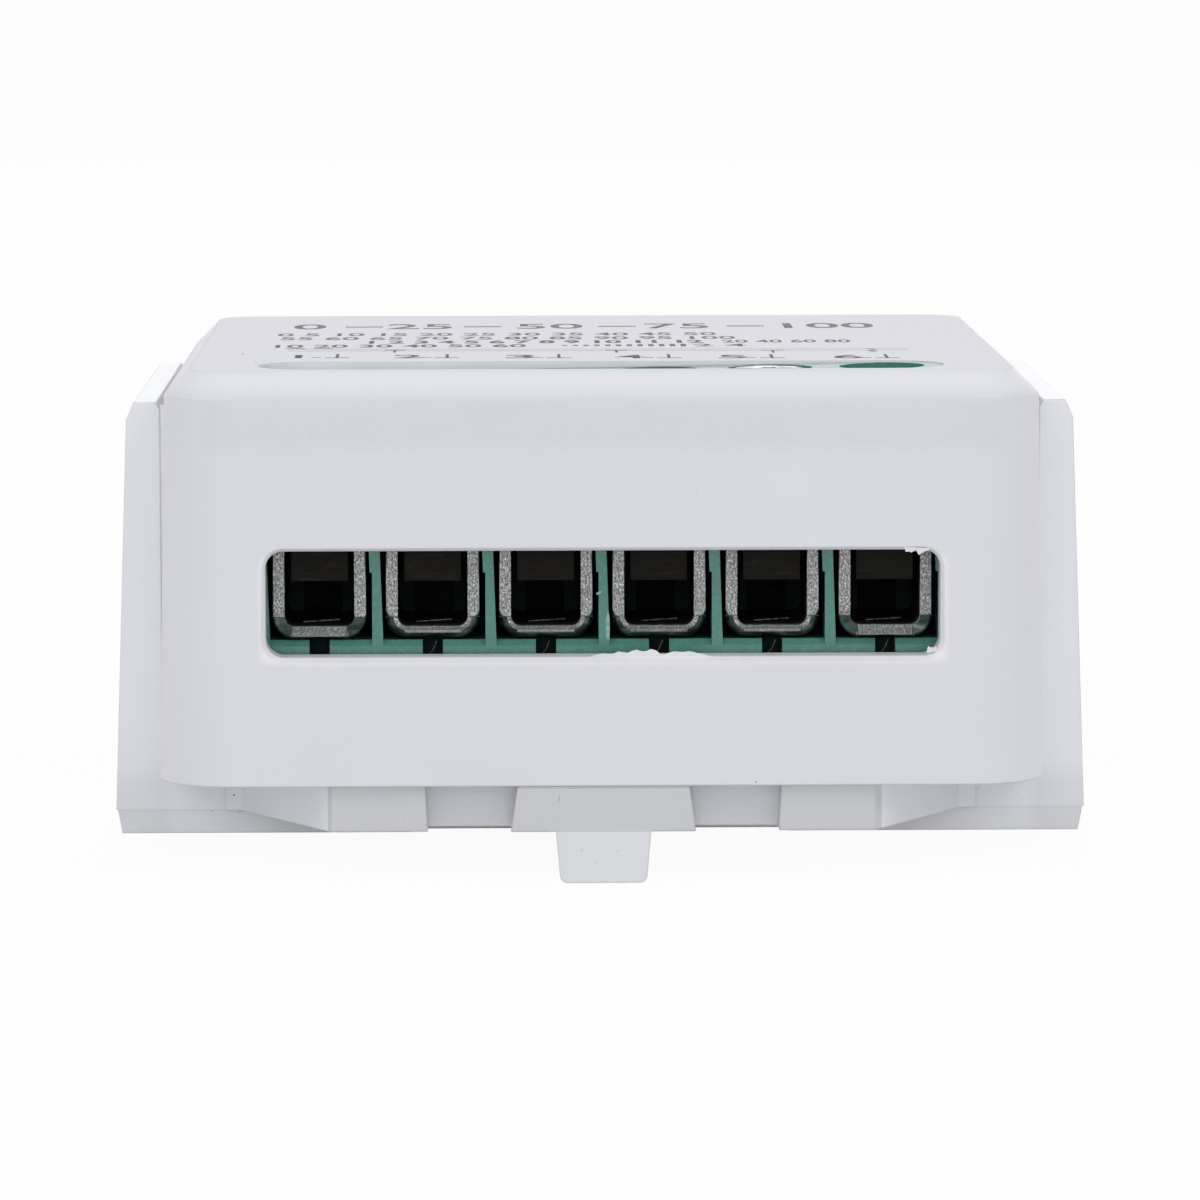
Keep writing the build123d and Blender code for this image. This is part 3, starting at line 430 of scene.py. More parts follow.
def white_plastic(name, colour, roughness, grain_mm, top=None):
    """The housing's plastic, where the height of its top is given, or the bracket's."""
    finish, tree, shader = start_finish(name, colour, roughness, IOR=1.49)
    tint = shades(cloud(tree, 0.12, detail=3),
                  ((0.3, scaled(colour, 0.985)), (0.7, scaled(colour, 1.012))))
    sheen = in_range(cloud(tree, 0.7, detail=4), roughness - 0.05, roughness + 0.06)
    if top:
        tint, sheen = housing_tones(tree, tint, sheen, colour, top)
    else:
        tint = bracket_tones(tree, tint, colour)
    feed(shader, Base_Color=tint, Roughness=sheen)
    corner = add_node(tree, "Bevel", {"Radius": EDGE_ROUND * MM}, samples=6)
    waves = raise_surface(shader, cloud(tree, 0.25), 0.02, after=corner.outputs["Normal"])
    grain = raise_surface(shader, cloud(tree, 7.0, detail=3), grain_mm, after=waves)
    if not top:
        ends = combined("ADD", between(tree, "X", -19.4, -16.6, 0.3),
                        between(tree, "X", 16.6, 19.4, 0.3))
        frost = product(cloud(tree, 5.0, detail=3), ends, between(tree, "Z", 2.4, 4.3, 0.2))
        raise_surface(shader, frost, 0.05, after=grain)
    return finish


housing_white = white_plastic("housing_white", (0.80, 0.80, 0.855), 0.42, 0.0045,
                              cad_high.z / MM)
bracket_white = white_plastic("bracket_white", (0.89, 0.90, 0.93), 0.36, 0.002)
wear("housing", housing_white)
wear("base_cover", housing_white)
wear("rail_bracket", bracket_white)
wear("rail_latch", bracket_white)
print("white plastics on 4 nodes")

# %% [markdown]
# ## The green terminal plastic
# The block is a glossy polyamide. Seen flat along its top it mirrors the white
# room, which is why the strip in the slot looks pale there. Deep in the chambers
# the mould leaves it matt, and painted shade makes its colour almost black there.

# %% Make the green plastic
GREEN = (0.074, 0.245, 0.195)
terminal_green, tree, shader = start_finish("terminal_green", GREEN, 0.22, IOR=1.53)
tone = shades(cloud(tree, 1.1, detail=4), (
    (0.3, scaled(GREEN, 0.92)), (0.55, GREEN), (0.75, scaled(GREEN, 1.07))))
# Painted shade: deep in the chambers the green is painted almost black.
chamber_shade = product(along(tree, "Y", -17.3, -16.2), along(tree, "Z", 18.0, 16.5))
sheen = in_range(cloud(tree, 3.0, detail=4), 0.16, 0.34)
feed(shader, Base_Color=mixed(chamber_shade, tone, scaled(GREEN, 0.08)),
     Roughness=combined("MAXIMUM", sheen, product(chamber_shade, 0.95)))
raise_surface(shader, cloud(tree, 2.2, detail=3), 0.006)
wear("terminal_block", terminal_green)
print("green plastic ready")

# %% [markdown]
# ## Steel of the cages
# A clamp cage is punched from plated strip and bent round. Its end faces are
# sheared, with torn grain and dark pits, while its bent faces keep a smooth
# plating. So a cage gets three finishes, chosen by which way a face looks: the
# sheared end, whose lowest edge is painted dark as a painted reflection of the
# chamber, the plated inside, painted almost black behind the front as painted
# shade, and the rolled outside, painted dark green as a painted reflection of the
# green chamber that it mirrors.

# %% Make the finishes of the cages
sheared_steel, tree, shader = start_finish("sheared_steel", (0.3, 0.3, 0.3), 0.4,
                                           Metallic=0.8)
torn = cloud(tree, 13.0, detail=5, rough=0.74, stretch=(1, 1, 0.6))
grain = shades(torn, ((0.35, (0.05, 0.05, 0.048)), (0.46, (0.17, 0.175, 0.175)),
                      (0.55, (0.34, 0.345, 0.35)), (0.66, (0.85, 0.86, 0.87))))
stain = in_range(cloud(tree, 1.1, detail=4), 0, 0.6, 0.54, 0.74)
stained = mixed(stain, grain, (0.12, 0.105, 0.075))
# Painted reflection: the lowest edge of the sheared floor is painted a dark green-grey, more so
# in the four middle cages, for the dark chamber that it mirrors.
mid_cages = product(between(tree, "X", -10, 10), 0.22)
floor_edge_reflection = product(along(tree, "Z", 11.24, 11.12), combined("ADD", mid_cages, 0.5))
feed(shader, Base_Color=mixed(floor_edge_reflection, stained, (0.07, 0.08, 0.075)),
     Roughness=in_range(cloud(tree, 5.0, detail=3), 0.26, 0.5))
raise_surface(shader, torn, 0.03)

plated_steel, tree, shader = start_finish("plated_steel", (0.45, 0.46, 0.45), 0.24,
                                          Metallic=1.0)
drawn = cloud(tree, 3.0, detail=4, stretch=(1, 0.12, 1))
plating = shades(drawn, ((0.3, (0.21, 0.22, 0.22)), (0.7, (0.36, 0.37, 0.37))))
# Painted shade: behind the front edge the plating is painted almost black and made dull, for
# the shade inside the chamber.
inside = along(tree, "Y", -17.45, -17.1)
feed(shader, Base_Color=mixed(inside, plating, (0.035, 0.035, 0.033)),
     Roughness=combined("MAXIMUM", in_range(drawn, 0.18, 0.34), product(inside, 0.55)))
raise_surface(shader, drawn, 0.004)

# Painted reflection: the rolled outside is painted dark green, for the green chamber that it
# mirrors.
rolled_steel = one_noise(
    "rolled_steel", (0.1, 0.13, 0.12), 0.3, (
        (0.35, (0.018, 0.03, 0.027)), (0.55, (0.045, 0.066, 0.06)),
        (0.72, (0.16, 0.19, 0.18))), 2.2, 3, (0.5, 1, 1), (0.2, 0.4), 0.02, Metallic=0.9)
groove_black = one_noise("groove_black", (0.02, 0.02, 0.02), 0.7, (
    (0.3, (0.01, 0.01, 0.01)), (0.7, (0.05, 0.045, 0.035))), 9.0)
burr_bright = one_noise("burr_bright", (0.8, 0.8, 0.8), 0.3, (
    (0.38, (0.06, 0.06, 0.058)), (0.62, (0.45, 0.45, 0.44))), 6.0, 3, Metallic=0.4)
curl_grey = one_noise("curl_grey", (0.1, 0.11, 0.1), 0.5, (
    (0.35, (0.05, 0.06, 0.055)), (0.65, (0.22, 0.24, 0.22))), 7.0)
print("cage finishes:", [f.name for f in (sheared_steel, plated_steel, rolled_steel)])

# %% [markdown]
# ## Screws, spring and contacts
# The screws are turned and zinc plated, with fine rings round their own axis, so
# each gets its own centre by a Mapping node. The spots of screw 5 are painted much
# darker than those of the others, as a painted reflection of the glints of its
# head. The latch spring is drawn wire. The contacts are tinned brass that has gone
# dark, and behind their plates they are painted almost black, as painted shade.

# %% Finish the screws, the spring and the contacts
poles = range(1, 7)
for number in poles:
    spot = middle_mm(f"terminal_screw_{number}")
    finish, tree, shader = start_finish(f"screw_zinc_{number}", (0.72, 0.73, 0.74), 0.22,
                                        Metallic=1.0)
    rings = bands(tree, "RINGS", "Z", 3200.0, 0.6, (-spot.x * MM, -spot.y * MM, 0))
    spots = cloud(tree, 2.4, detail=4)
    # Painted reflection: screw 5 gets much darker spots than the others, for the dark and
    # bright glints of its head.
    dark = (0.06, 0.065, 0.07) if number == 5 else (0.36, 0.37, 0.38)
    feed(shader, Base_Color=shades(spots, ((0.42, dark), (0.54, (0.72, 0.73, 0.75)))),
         Roughness=in_range(spots, 0.14, 0.36))
    fine = raise_surface(shader, rings, 0.004)
    raise_surface(shader, spots, 0.012, after=fine)
    wear(f"terminal_screw_{number}", finish)

spring_wire = one_noise("spring_wire", (0.62, 0.63, 0.64), 0.26, (
    (0.3, (0.42, 0.43, 0.45)), (0.7, (0.70, 0.71, 0.72))), 6.0, 3, (0.3, 1, 1),
    depth_mm=0.004, Metallic=1.0)
wear("latch_spring", spring_wire)

contact_tin, tree, shader = start_finish("contact_tin", (0.03, 0.027, 0.022), 0.5, Metallic=0.6)
brushed = cloud(tree, 3.0, detail=5, rough=0.65, stretch=(0.22, 1, 1.6))
worn = shades(brushed, ((0.35, (0.002, 0.002, 0.0015)), (0.55, (0.006, 0.005, 0.003)),
                        (0.72, (0.018, 0.017, 0.014))))
# Painted shade: behind the plate the contacts are painted almost black, for the shade deep in
# the chamber.
shaded_behind_plate = along(tree, "Y", -16.25, -15.9)
feed(shader, Base_Color=mixed(shaded_behind_plate, worn, (0.004, 0.004, 0.0035)),
     Metallic=in_range(shaded_behind_plate, 0.82, 1.0, 0, 1), Roughness=in_range(brushed, 0.4, 0.62))
raise_surface(shader, brushed, 0.012)
wear("terminal_contacts", contact_tin)
print("screws:", len(poles), "plus spring and contacts")

# %% [markdown]
# ## The two boards
# A board has a glossy mask over copper tracks, which show as slightly raised,
# lighter bands, and bare tin spots. Bricks on Object coordinates give tracks that
# run and turn at right angles.

# %% Finish the boards


def board_finish(name, mask, track, pad, turn=(0, 0, 0)):
    """A coloured mask over raised tracks, with tinned or gilt pads."""
    finish, tree, shader = start_finish(name, mask, 0.25, IOR=1.55)
    tracks = add_node(tree, "TexBrick", {
        "Vector": place_on_piece(tree, turn=turn), "Scale": 190.0, "Mortar Size": 0.045,
        "Mortar Smooth": 0.1}).outputs["Fac"]
    tone = shades(cloud(tree, 0.6, detail=3), ((0.35, scaled(mask, 0.8)), (0.65, mask)))
    tracked = mixed(tracks, tone, track)
    tinned = in_range(cloud(tree, 0.9, detail=1), 0, 1, 0.70, 0.71)
    feed(shader, Base_Color=mixed(tinned, tracked, pad),
         Roughness=in_range(cloud(tree, 2.0), 0.18, 0.36))
    raise_surface(shader, tracks, 0.03)
    return finish


wear("main_board", board_finish("board_green", (0.02, 0.16, 0.07), (0.05, 0.27, 0.12),
                                (0.62, 0.62, 0.60)))
wear("wifi_board", board_finish("board_blue", (0.015, 0.05, 0.20), (0.04, 0.11, 0.34),
                                (0.72, 0.55, 0.22), (0, math.radians(90), 0)))
print("boards ready")

# %% [markdown]
# ## Parts on the board
# None of these shows in the picture, but the model can be opened. A film
# capacitor is a moulded yellow box, the cans wear a black sleeve with a pale
# stripe and a bare top, the varistor is dipped, the coil is copper wire between
# ferrite flanges, and the fuse resistor has rings. Masks by height or by side
# let one finish hold the body and its tinned legs.

# %% Finish the parts on the board
TIN = (0.70, 0.70, 0.68)
EPOXY = (0.022, 0.022, 0.024)
BOARD_TOP = box_mm("main_board")[1].z
CHIP_HALF = 1.95
COUPLER_HALF = 3.2


def coated(name, colour, roughness, legs, grain=3.0, depth_mm=0.01, spread=0.12, extra=None):
    """A coloured body with tinned legs where the mask of legs is 1."""
    finish, tree, shader = start_finish(name, colour, roughness)
    tone = shades(cloud(tree, grain, detail=4), (
        (0.32, scaled(colour, 1 - spread)), (0.68, scaled(colour, 1 + spread))))
    if extra:
        tone = extra(tree, tone)
    mask = legs(tree)
    rough = in_range(cloud(tree, 2.0), roughness - 0.06, roughness + 0.08)
    feed(shader, Base_Color=mixed(mask, tone, TIN), Metallic=mask,
         Roughness=combined("MINIMUM", rough, in_range(mask, 1, 0.3, 0, 1)))
    raise_surface(shader, cloud(tree, grain, detail=3), depth_mm)
    return finish


def below(rise):
    """Legs that go down from a little above the board."""
    return lambda tree: along(tree, "Z", BOARD_TOP + rise + 0.02, BOARD_TOP + rise - 0.02)


def beside(node, half_depth):
    """Legs that stand out in front of and behind a chip's body."""
    y = middle_mm(node).y
    return lambda tree: combined("SUBTRACT", 1.0,
                                 between(tree, "Y", y - half_depth, y + half_depth))


def can_stripe(tree, tone):
    """A pale stripe down the left side and a bare aluminium top."""
    x = middle_mm("electrolytic_capacitors").x
    top = box_mm("electrolytic_capacitors")[1].z
    striped = mixed(along(tree, "X", x - 3.4, x - 3.5), tone, (0.55, 0.56, 0.58))
    return mixed(along(tree, "Z", top - 0.12, top - 0.08), striped, (0.66, 0.67, 0.69))


def rings_on_resistor(tree, tone):
    """Four coloured rings along the body."""
    x = middle_mm("fuse_resistor").x
    for shift, colour in ((-1.9, (0.30, 0.03, 0.02)), (-0.9, (0.02, 0.02, 0.02)),
                          (0.1, (0.02, 0.02, 0.02)), (1.6, (0.50, 0.36, 0.10))):
        tone = mixed(between(tree, "X", x + shift, x + shift + 0.5), tone, colour)
    return tone


def winding(tree, tone):
    """Copper turns between the two flanges."""
    top = box_mm("power_inductor")[1].z
    turns = shades(bands(tree, "BANDS", "Z", 950.0), (
        (0.2, (0.20, 0.06, 0.02)), (0.8, (0.62, 0.27, 0.11))))
    return mixed(between(tree, "Z", BOARD_TOP + 1.0, top - 1.0), tone, turns)


wear("film_capacitor", coated("capacitor_yellow", (0.80, 0.55, 0.09), 0.3, below(0)))
wear("electrolytic_capacitors", coated("can_sleeve", (0.016, 0.016, 0.02), 0.28,
                                       below(0), extra=can_stripe))
wear("varistor", coated("varistor_blue", (0.035, 0.10, 0.42), 0.24, below(0.6),
                        grain=1.2, depth_mm=0.12))
wear("power_inductor", coated("ferrite_dark", (0.055, 0.055, 0.06), 0.5, below(0),
                              extra=winding))
wear("fuse_resistor", coated("resistor_green", (0.20, 0.36, 0.27), 0.45, below(0.02),
                             extra=rings_on_resistor))
for node in ("bridge_rectifier", "supply_chip"):
    wear(node, coated(f"{node}_epoxy", EPOXY, 0.55, beside(node, CHIP_HALF), grain=8.0,
                      depth_mm=0.006))
wear("optocouplers", coated("opto_white", (0.74, 0.73, 0.69), 0.4,
                            beside("optocouplers", COUPLER_HALF), grain=8.0,
                            depth_mm=0.005, spread=0.03))
print("parts on the board ready")

# %% [markdown]
# ## Metal and plastic bits inside
# The heat spreader is a plain rolled plate, the shield is a tinned pressing, the
# plunger and the pairing button are small mouldings, and the light pipe is clear
# acrylic that carries the status light to the far wall.

# %% Finish the rest of the inside


def simple(name, colour, roughness, grain, stretch=(1, 1, 1), metal=0.0, depth_mm=0.006):
    """A colour with light and dark grains, some of them duller than others."""
    return one_noise(name, colour, roughness, (
        (0.3, scaled(colour, 0.82)), (0.7, scaled(colour, 1.1))), grain, 4, stretch,
        (roughness - 0.08, roughness + 0.1), depth_mm, Metallic=metal)


chip_black = simple("chip_black", EPOXY, 0.55, 8.0)
for node in ("power_transistors", "wifi_chip", "button_switch"):
    wear(node, chip_black)
wear("heat_spreader", simple("spreader_aluminium", (0.72, 0.73, 0.74), 0.34, 3.0,
                             (0.08, 1, 1), 1.0))
wear("wifi_shield", simple("shield_tin", (0.70, 0.70, 0.68), 0.3, 1.2, metal=1.0,
                           depth_mm=0.03))
wear("switch_plunger", simple("plunger_brown", (0.16, 0.075, 0.035), 0.4, 5.0))
wear("pairing_button", simple("button_grey", (0.60, 0.61, 0.63), 0.4, 6.0, depth_mm=0.004))
for node, colour, roughness, clearness in (("status_led", (0.85, 0.88, 0.80), 0.18, 0.6),
                                           ("light_pipe", (0.93, 0.95, 0.97), 0.06, 1.0)):
    clear, tree, shader = start_finish(f"{node}_clear", colour, roughness, IOR=1.49,
                                       Transmission_Weight=clearness)
    feed(shader, Roughness=in_range(cloud(tree, 2.0), roughness, roughness + 0.08))
    raise_surface(shader, cloud(tree, 0.8), 0.01)
    wear(node, clear)
print("inside finished")

# %% [markdown]
# ## Helpers for new pieces
# New pieces are made in millimetres by bmesh operators and brought to metres at
# the end. A piece that the picture shows at a known pixel is set by a ray from
# the camera through that pixel to the CAD surface that carries it.

# %% Define the helpers for new pieces
PICTURE_SIZE = 1200
FOCAL_PIXELS = camera_data.lens / camera_data.sensor_width * PICTURE_SIZE


def chosen(items, test):
    """The items that pass a test."""
    return [item for item in items if test(item)]


def only_faces(items):
    """The faces among mixed parts of a mesh."""
    return chosen(items, lambda item: isinstance(item, bmesh.types.BMFace))


def extruded(build, faces, vector):
    """Extrudes faces by a vector and returns the new faces."""
    grown = bmesh.ops.extrude_face_region(build, geom=faces)["geom"]
    bmesh.ops.translate(build, vec=vector, verts=chosen(
        grown, lambda item: isinstance(item, bmesh.types.BMVert)))
    return only_faces(grown)


def put(build, spot, size=(1, 1, 1), turn=Matrix()):
    """Stretches a shape, turns it and moves it to its place."""
    bmesh.ops.transform(build, verts=build.verts, matrix=Matrix.Translation(spot)
                        @ turn.to_4x4() @ Matrix.Diagonal((*size, 1)))
    return build


def square(spot, width, depth, turn=Matrix()):
    """A flat piece with one face."""
    build = bmesh.new()
    bmesh.ops.create_grid(build, x_segments=1, y_segments=1, size=0.5)
    return put(build, spot, (width, depth, 1), turn)


def merged(build, other):
    """Adds one bmesh to another and frees it."""
    mesh = bpy.data.meshes.new("join")
    other.to_mesh(mesh)
    other.free()
    build.from_mesh(mesh)
    bpy.data.meshes.remove(mesh)
    return build


def make_piece(build, name, body, finishes):
    """Turns a bmesh in millimetres into a piece that rides on a body."""
    bmesh.ops.scale(build, vec=(MM, MM, MM), verts=build.verts)
    mesh = bpy.data.meshes.new(name)
    build.to_mesh(mesh)
    build.free()
    piece = add_object(name, mesh)
    for finish in finishes:
        mesh.materials.append(finish)
    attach(piece, body)
    return piece


def skins(nodes):
    """Search trees of CAD surfaces."""
    depsgraph = bpy.context.evaluated_depsgraph_get()
    return {node: BVHTree.FromObject(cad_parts[node], depsgraph) for node in nodes}


skin = skins(("housing", "rail_bracket", "rail_latch", "terminal_block"))


def seen_at(x_pixel, y_pixel, node):
    """Where the ray through a pixel of the picture meets a CAD surface, in mm."""
    middle = PICTURE_SIZE / 2
    ray = (ahead + right * ((x_pixel - middle) / FOCAL_PIXELS)
           + up * ((middle - y_pixel) / FOCAL_PIXELS)).normalized()
    spot, normal, _, _ = skin[node].ray_cast(place.translation, ray)
    return spot / MM, normal


print("near face seen at the middle:", [round(v, 2) for v in seen_at(600, 450, "housing")[0]])

# %% [markdown]
# ## The clamp cages
# The CAD cage has the right size, but the real strip has more to see: a rolled
# edge under the bends, a fine groove where each leg starts to bend, and in the
# two end cages a flat strap between two joints. Each cage is drawn as a steel
# section carried round a U by extrude and spin, which is how it is bent, and then
# its edges are bevelled. The thick top has a bore for the screw.

# %% Define how a cage is bent
CAGE_WALL = 0.53
CAGE_BEND = 0.95
CAGE_TOP_WALL = 1.25
CAGE_BORE_RADIUS = 1.56
ROLLED_EDGE = 0.35
SHARP_EDGE = 0.06
STRAP_HALF = 1.22
END_CAGES = (1, 6)


def bent_strip(x_mid, y_mid, z0, z1, outer, depth):
    """The strip of a cage: down one leg, across the floor and up the other."""
    left = x_mid - outer / 2
    stop = z1 - SHARP_EDGE
    build = square((left + CAGE_WALL / 2, y_mid, stop), CAGE_WALL, depth)

    def bend(end, from_side):
        return only_faces(bmesh.ops.spin(
            build, geom=end, cent=(left + from_side, y_mid, z0 + CAGE_BEND), axis=(0, 1, 0),
            dvec=(0, 0, 0), angle=-math.pi / 2, steps=8, use_duplicate=False)["geom_last"])

    end = extruded(build, list(build.faces), (0, 0, z0 + CAGE_BEND - stop))
    end = extruded(build, bend(end, CAGE_BEND), (outer - 2 * CAGE_BEND, 0, 0))
    extruded(build, bend(end, outer - CAGE_BEND), (0, 0, stop - z0 - CAGE_BEND))
    bmesh.ops.remove_doubles(build, verts=build.verts, dist=0.001)
    walls_inside = chosen(build.faces, lambda f: all(len(e.link_faces) > 2 for e in f.edges))
    bmesh.ops.delete(build, geom=walls_inside, context="FACES_ONLY")
    bmesh.ops.recalc_face_normals(build, faces=build.faces)
    return build


def roll_edges(build, test, width, steps):
    """Rounds the long outer edges on both sides where test holds for both ends."""
    edges = chosen(build.edges, lambda e: abs(e.verts[0].co.y - e.verts[1].co.y) < 0.01
                   and all(test(v.co) for v in e.verts))
    bmesh.ops.bevel(build, geom=edges, affect="EDGES", offset=width, segments=steps,
                    profile=0.5, material=-1)


def threaded_top(x_mid, y_mid, z1, width, depth):
    """The thick top plate with the bore for its clamp screw."""
    build = bmesh.new()
    bmesh.ops.create_circle(build, segments=48, radius=CAGE_BORE_RADIUS)
    bmesh.ops.create_grid(build, x_segments=12, y_segments=12, size=0.5)
    grid = chosen(build.verts, lambda v: len(v.link_faces) > 0)
    bmesh.ops.scale(build, vec=(width, depth, 1), verts=grid)
    inner = chosen(grid, lambda v: not v.is_boundary)
    bmesh.ops.delete(build, geom=inner, context="VERTS")
    bmesh.ops.bridge_loops(build, edges=list(build.edges))
    extruded(build, list(build.faces), (0, 0, -CAGE_TOP_WALL))
    bmesh.ops.translate(build, vec=(x_mid, y_mid, z1), verts=build.verts)
    bmesh.ops.recalc_face_normals(build, faces=build.faces)
    return build


print("strip", CAGE_WALL, "mm thick, bent at", CAGE_BEND, "mm")

# %% [markdown]
# The edges outside are rolled round below the legs, except in the end cages,
# where the strap is cut sharp. Each face gets its finish by where it lies and
# which way it looks, and all but the sheared ends are shaded smooth.

# %% Build the six cages
for number in poles:
    low, high = box_mm(f"terminal_cage_{number}")
    x_mid, y_mid, _ = (low + high) / 2
    outer, depth, _ = high - low
    z0, z1 = low.z, high.z
    strapped = number in END_CAGES
    build = bent_strip(x_mid, y_mid, z0, z1, outer, depth)

    def on_outside(v):
        from_side = min(v.x - low.x, high.x - v.x)
        bent = v.z < z0 + CAGE_BEND and from_side < CAGE_BEND
        corner = math.hypot(from_side - CAGE_BEND, v.z - z0 - CAGE_BEND)
        return (from_side < 0.01 or v.z < z0 + 0.01 or (bent and corner > CAGE_BEND - 0.02))

    roll_edges(build, lambda v: on_outside(v) and v.z < z0 + CAGE_BEND + 0.01,
               SHARP_EDGE * 2 if strapped else ROLLED_EDGE, 5)
    roll_edges(build, lambda v: on_outside(v) and v.z > z0 + CAGE_BEND - 0.01, SHARP_EDGE, 2)
    merged(build, threaded_top(x_mid, y_mid, z1, outer - 2 * CAGE_WALL + 0.02, depth - 0.1))
    build.normal_update()
    for face in build.faces:
        spot = face.calc_center_median()
        across = abs(face.normal.y) > 0.99
        at_bend = spot.z < z0 + CAGE_BEND and abs(spot.x - x_mid) > STRAP_HALF
        outward = face.normal.x * (spot.x - x_mid) > 0.05 or face.normal.z < -0.2
        if across:
            face.material_index = 2 if strapped and at_bend else 0
        else:
            face.material_index = 2 if outward and spot.z < z0 + CAGE_BEND + 0.1 else 1
        face.smooth = not across
    open_edges = sum(not e.is_manifold for e in build.edges)
    cage = make_piece(build, f"clamp_cage_{number}", f"cage_{number}",
                      (sheared_steel, plated_steel, rolled_steel))
    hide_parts(f"terminal_cage_{number}")
    print(cage.name, "faces:", len(cage.data.polygons), "open edges:", open_edges)

# %% [markdown]
# ## The ridge and the grooves of each cage
# A thin bright burr runs slantwise across the floor of every cage, where the wire
# is gripped. It is a slim cone that lies on the floor of the cage. Narrow dark
# grooves cross the legs where the bends start, and in the end cages two more
# stand at the ends of the strap. They are shown by slim dark inlays.

# %% Add the ridges and the grooves
RIDGE_START, RIDGE_STOP = Vector((-0.75, -15.95, 0.03)), Vector((0.85, -15.3, 0.05))
GROOVE = 0.035


def inlay(centre, size):
    """A small block given by its middle and its size."""
    build = bmesh.new()
    bmesh.ops.create_cube(build, size=1.0)
    return put(build, centre, size)


def slim_cone(start, stop, first_radius, last_radius):
    """A six-sided cone from one point to another."""
    build = bmesh.new()
    run = stop - start
    bmesh.ops.create_cone(build, cap_ends=True, segments=6, radius1=first_radius,
                          radius2=last_radius, depth=run.length)
    return put(build, (start + stop) / 2, turn=run.to_track_quat("Z", "Y").to_matrix())


for number in poles:
    low, high = box_mm(f"terminal_cage_{number}")
    x_mid = (low.x + high.x) / 2
    inside = Vector((x_mid, 0, low.z + CAGE_WALL))
    ridge = make_piece(slim_cone(inside + RIDGE_START, inside + RIDGE_STOP, 0.02, 0.035),
                       f"grip_ridge_{number}", f"cage_{number}", (burr_bright,))

    build = bmesh.new()
    for side in (-1, 1):
        leg = x_mid + side * (high.x - low.x - CAGE_WALL) / 2
        merged(build, inlay((leg, low.y + 0.01, low.z + CAGE_BEND), (CAGE_WALL, 0.03, GROOVE)))
        if number in END_CAGES:
            merged(build, inlay((x_mid + side * STRAP_HALF, low.y + 0.01,
                                 low.z + CAGE_WALL / 2), (0.04, 0.03, CAGE_WALL - 0.04)))
    grooves = make_piece(build, f"cage_grooves_{number}", f"cage_{number}", (groove_black,))
print("ridges and sets of grooves:", len(poles))

# %% [markdown]
# Under all but the first cage a thin grey curl of plastic stands in the notch of
# the lip. It is drawn by two cones, one on top of the other.

# %% Add the curls
curls = bmesh.new()
for number in poles[1:]:
    shift = Vector((middle_mm(f"terminal_cage_{number}").x, 0, 0))
    for start, stop, thick in (((-0.16, -17.0, 9.85), (0.02, -17.1, 10.10), 0.035),
                               ((0.02, -17.1, 10.10), (0.16, -17.2, 10.48), 0.03)):
        merged(curls, slim_cone(Vector(start) + shift, Vector(stop) + shift, thick,
                                thick * 0.8))
make_piece(curls, "mould_curls", "module", (curl_grey,))
print("curls:", len(poles[1:]))

# %% [markdown]
# ## The print on the label
# The label has fine grey print, seen almost edge on. Each terminal has a short
# mark and its number, and lines above them stand for the wiring. The rest is a
# generic dimming scale: plain numbers, a wedge and a ruler. Bars come from a
# grid, and numbers from text that is made a mesh before it is placed. All of it
# is one thin skin that lies on the label.

# %% Make the ink and the helpers for the print
label_ink, tree, shader = start_finish("label_ink", (0.14, 0.14, 0.15), 0.7,
                                       Specular_IOR_Level=0.1)
faded = shades(along(tree, "Y", -10.5, 12.5), (
    (0.0, (0.12, 0.12, 0.13)), (0.45, (0.20, 0.20, 0.21)), (1.0, (0.27, 0.27, 0.285))))
patchy = in_range(cloud(tree, 2.5, detail=3), 0.0, 0.4, 0.5, 0.75)
feed(shader, Base_Color=mixed(patchy, faded, (0.38, 0.38, 0.40)),
     Roughness=in_range(cloud(tree, 4.0), 0.6, 0.8))

LABEL_Z = cad_high.z / MM
INK = 0.008
SIZE_TO_HEIGHT = 1.38
print_build = bmesh.new()


def thicken(build):
    """Turns a flat print into a thin skin and adds it to the rest."""
    extruded(build, list(build.faces), (0, 0, INK))
    bmesh.ops.translate(build, vec=(0, 0, -INK / 2), verts=build.verts)
    bmesh.ops.recalc_face_normals(build, faces=build.faces)
    merged(print_build, build)


def bar(x0, y0, x1, y1, width=0.12):
    """A printed line from one point of the label to another."""
    thicken(square(((x0 + x1) / 2, (y0 + y1) / 2, LABEL_Z), math.hypot(x1 - x0, y1 - y0),
                   width, Matrix.Rotation(math.atan2(y1 - y0, x1 - x0), 4, "Z")))


def figure(text, x, y, height, bold=0.0, span=None):
    """Plain numbers, centred on a point of the label and fitted to a span."""
    curve = bpy.data.curves.new("figure", "FONT")
    curve.body = text
    curve.size = height * SIZE_TO_HEIGHT
    curve.offset = bold
    curve.resolution_u = 6
    curve.align_x = "CENTER"
    holder = add_object("figure", curve)
    mesh = bpy.data.meshes.new_from_object(
        holder.evaluated_get(bpy.context.evaluated_depsgraph_get()))
    build = bmesh.new()
    build.from_mesh(mesh)
    bmesh.ops.remove_doubles(build, verts=build.verts, dist=0.001)
    reach = max(v.co.x for v in build.verts) - min(v.co.x for v in build.verts)
    put(build, (x, y - height / 2, LABEL_Z), (span / reach if span else 1.0, 1, 1))
    bpy.data.objects.remove(holder)
    bpy.data.curves.remove(curve)
    bpy.data.meshes.remove(mesh)
    thicken(build)


print("print helpers ready")

